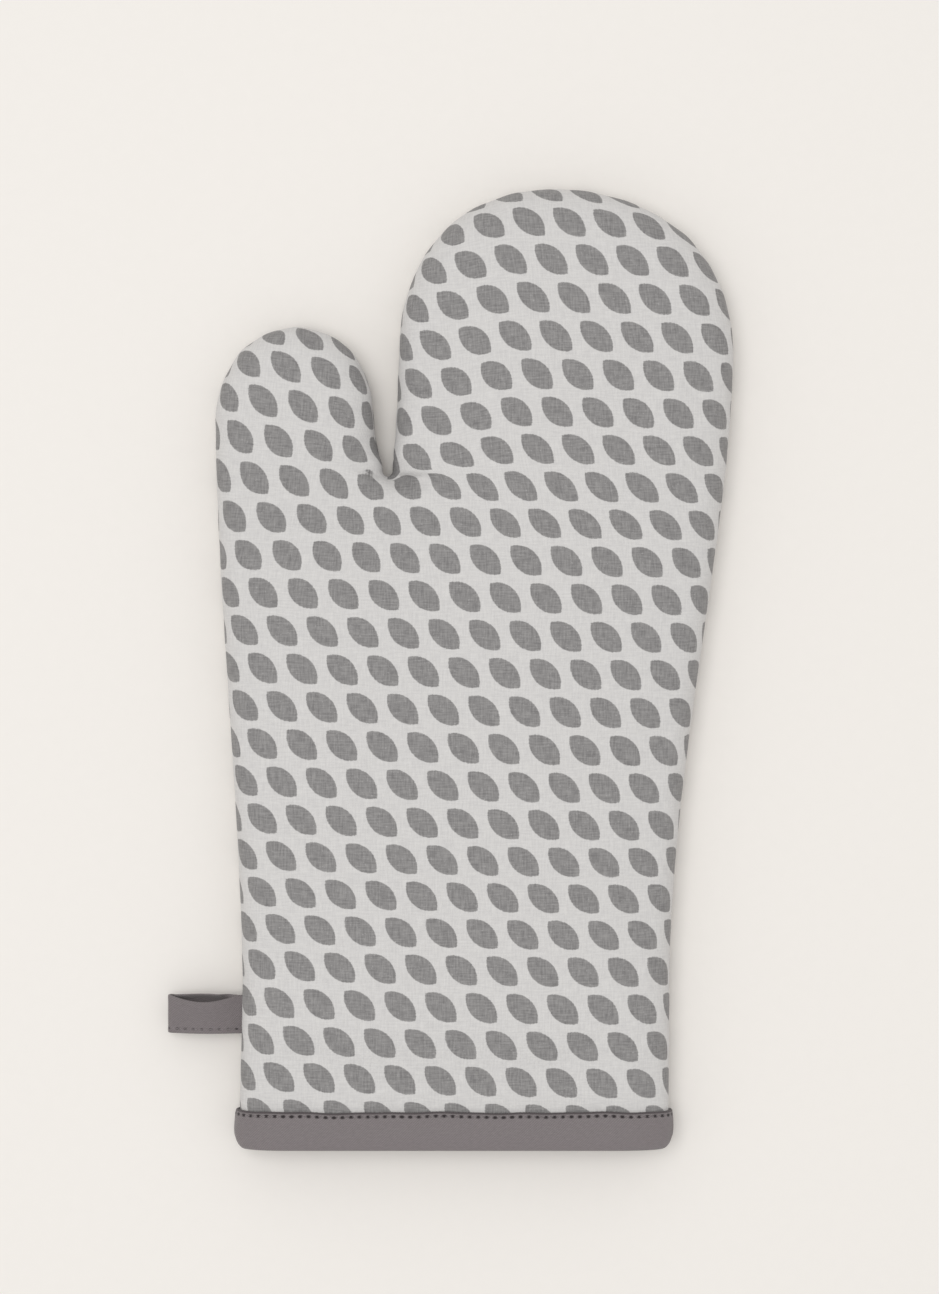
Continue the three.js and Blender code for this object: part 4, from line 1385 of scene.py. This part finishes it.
def hole_dashes(material, u, v, pitch, across, long_by, size):
    """1 in a row of dashes on the line v = across, 0 away from it: the distance to the nearest
    needle hole, with the way along the row counted for less, so that each dash is long_by as long
    as it is wide."""
    # this mask places the painted shade of the needle holes
    to_hole = add_node(material, "Math", {0: u, 1: pitch / 2}, operation="PINGPONG")
    to_hole = add_node(material, "Math", {0: to_hole, 1: 1 / long_by}, operation="MULTIPLY")
    to_line = add_node(material, "Math", {0: v, 1: across}, operation="SUBTRACT")
    spot = add_node(material, "CombineXYZ", {0: to_hole, 1: to_line})
    far = add_node(material, "VectorMath", {0: spot}, 1, operation="LENGTH")
    return add_node(material, "MapRange", {0: far, 1: size / 2, 2: size, 3: 1.0, 4: 0.0})


def twill_tape(name, shades, dashes, hole_shade_colour, edge=None):
    """Dyed cotton twill tape: fine slanting ribs on a grey that is uneven from thread to thread; each
    rib is a bump, and its crest is also painted lighter, a painted highlight. Ribs are 0.6 mm apart on
    the real tape, and are drawn at 0.9 mm.
    dashes is the row of needle holes, painted dark as painted shade in the holes. edge is where the
    tape's turned-under cut edge starts along its section: from there, and from the section's start, the
    tape's upper edge is painted darker, painted shade for the shadow line along it."""
    material, shader = cloth_material(name, 0.88, 0.18)
    place, u, v = cloth_place(material)
    both = add_node(material, "Math", {0: u, 1: v}, operation="ADD")
    slant = add_node(material, "Math", {0: both, 1: 2 * math.pi / TWILL_RIB}, operation="MULTIPLY")
    rib = add_node(material, "Math", {0: slant}, operation="SINE")
    rib = add_node(material, "Math", {0: rib, 1: 0.5, 2: 0.5}, operation="MULTIPLY_ADD")
    mottle = stretched_noise(material, place, 1.6, 0.7, 3.0)
    # painted highlight: the rib lightens the colour on its crests, as well as raising the bump
    tone = add_node(material, "Mix", {0: 0.35, 2: mottle, 3: rib})
    colour = add_node(material, "Mix", {0: tone, 6: hex_colour(shades[0]), 7: hex_colour(shades[1])},
                      2, data_type="RGBA")
    # painted shade: both ends of the section's walk, at the tape's upper edge, are mixed towards dark
    # grey to stand for the shadow line there
    if edge is not None:
        last = add_node(material, "MapRange", {0: v, 1: edge, 2: edge + 0.5, 3: 0.0, 4: 0.85})
        first = add_node(material, "MapRange", {0: v, 1: 0.0, 2: 0.35, 3: 0.85, 4: 0.0})
        turned = add_node(material, "Math", {0: last, 1: first}, operation="MAXIMUM")
        colour = add_node(material, "Mix", {0: turned, 6: colour, 7: hex_colour("#4b4546")},
                          2, data_type="RGBA")
    # painted shade: the needle holes are mixed towards a dark colour
    dash = hole_dashes(material, u, v, *dashes)
    colour = add_node(material, "Mix", {0: dash, 6: colour, 7: hex_colour(hole_shade_colour)},
                      2, data_type="RGBA")
    height = add_node(material, "Math", {0: dash, 1: -1.5, 2: rib}, operation="MULTIPLY_ADD")
    finish_with(material, shader, colour, height, 0.12)
    return material


def sewing_thread(name, dark, light):
    """Spun thread: matt with a slight lustre, and darker and lighter along its twist, which is
    drawn at 0.9 mm a turn."""
    material, shader = cloth_material(name, 0.7, 0.2)
    place = add_node(material, "TexCoord", output=3)
    twist = add_node(material, "TexWave", {"Vector": place, "Scale": 350.0, "Distortion": 1.5},
                     wave_type="BANDS", bands_direction="DIAGONAL")
    colour = add_node(material, "Mix", {0: twist, 6: hex_colour(dark), 7: hex_colour(light)},
                      2, data_type="RGBA")
    finish_with(material, shader, colour, twist, 0.05)
    return material


hole_pitch = mouth_round / round(mouth_round / STITCH_PITCH)
binding_dashes = (hole_pitch, BINDING_OUTSIDE - 0.35 - STITCH_Y, 1.6, 0.72)
loop_dashes = (LOOP_PITCH, LOOP_STITCH_IN - LOOP_WIDTH / 2, 1.6, 0.45)
finishes["lining"] = lining_cotton()
finishes["wadding"] = wadding_fibre()
# the dash colours are painted shade in the needle holes; past tape_section - 1.6 the binding's upper
# edge is painted darker, painted shade for its shadow line
finishes["binding"] = twill_tape("dyed_cotton_twill_tape", ("#746d6e", "#8f8889"), binding_dashes,
                                 "#332e2f", tape_section - 1.6)
finishes["loop"] = twill_tape("dyed_cotton_loop_tape", ("#6f6869", "#8b8485"), loop_dashes, "#4d4748")
finishes["tape_thread"] = sewing_thread("grey_spun_polyester_thread", "#6d6667", "#8a8384")
finishes["seam_thread"] = sewing_thread("undyed_spun_polyester_thread", "#c9c5bf", "#e4e1dc")
for name, material in finishes.items():
    print(name, len(material.node_tree.nodes), "nodes")


# %% [markdown]
# ## The table
# A wide sheet of off-white paper. Almost even, with a breath of mottling, so that the shadow at the
# mitt's edge is the only thing to see on it.

# %% Table
def table_paper():
    """Uncoated paper: matt and warm white, its fibres a tenth of a millimetre high at most."""
    material, shader = cloth_material("uncoated_paper", 0.9, 0.0)
    place = add_node(material, "TexCoord", output=3)
    fibre = add_node(material, "TexNoise", {"Vector": place, "Scale": 220.0, "Detail": 4.0})
    colour = add_node(material, "Mix", {0: fibre, 6: hex_colour("#f2eee9"), 7: hex_colour("#f4f0eb")},
                      2, data_type="RGBA")
    finish_with(material, shader, colour, fibre, 0.04)
    return material


TABLE_HALF = 1.5  # metres
square_points = [(x * TABLE_HALF, y * TABLE_HALF, 0) for x, y in ((-1, -1), (1, -1), (1, 1), (-1, 1))]
table_mesh = bpy.data.meshes.new("table")
table_mesh.from_pydata(square_points, [], [(0, 1, 2, 3)])
table = bpy.data.objects.new("table", table_mesh)
bpy.context.scene.collection.objects.link(table)
table.data.materials.append(table_paper())
print("table", 2 * TABLE_HALF, "m wide")

# %% [markdown]
# ## What each piece is
# Every piece is now given its finish and told which body it moves with, and the parts of the frame
# that it stands for are hidden. The loop's stitches move with the loop; its strip is given its finish
# and left in place, on no body.

PIECES = [
    (printed_front, "print", "printed_cotton", ["front_outer_panel"]),
    (printed_back, "print", "printed_cotton", ["back_outer_panel"]),
    (wadding_front, "wadding", "wadding", ["front_wadding"]),
    (wadding_back, "wadding", "wadding", ["back_wadding"]),
    (lining_front, "lining", "lining_cotton", ["front_lining"]),
    (lining_back, "lining", "lining_cotton", ["back_lining"]),
    (cuff_tape, "binding", "grey_tape", ["cuff_binding"]),
    (outside_stitches, "tape_thread", "grey_thread", ["binding_needle_thread"]),
    (inside_stitches, "tape_thread", "grey_thread", ["binding_bobbin_thread"]),
    (seam_rows["side_seam_needle"], "seam_thread", "seam_thread", ["side_seam_needle_thread"]),
    (seam_rows["side_seam_bobbin"], "seam_thread", "seam_thread", ["side_seam_bobbin_thread"]),
    (seam_rows["lining_seam_needle"], "seam_thread", "seam_thread", ["lining_seam_needle_thread"]),
    (seam_rows["lining_seam_bobbin"], "seam_thread", "seam_thread", ["lining_seam_bobbin_thread"]),
]
for piece, finish, slot, nodes in PIECES:
    piece.data.materials.append(finishes[finish])
    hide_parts(*nodes)
    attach(piece, "mitt")

strip.data.materials.append(finishes["loop"])
strip_stitches.data.materials.append(finishes["tape_thread"])
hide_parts("hanging_loop", "loop_sewn_ends")
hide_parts("loop_edge_thread")
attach(strip_stitches, "loop")
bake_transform(strip)

print(len(PIECES) + 2, "pieces declared, six of them sheets and two padded")
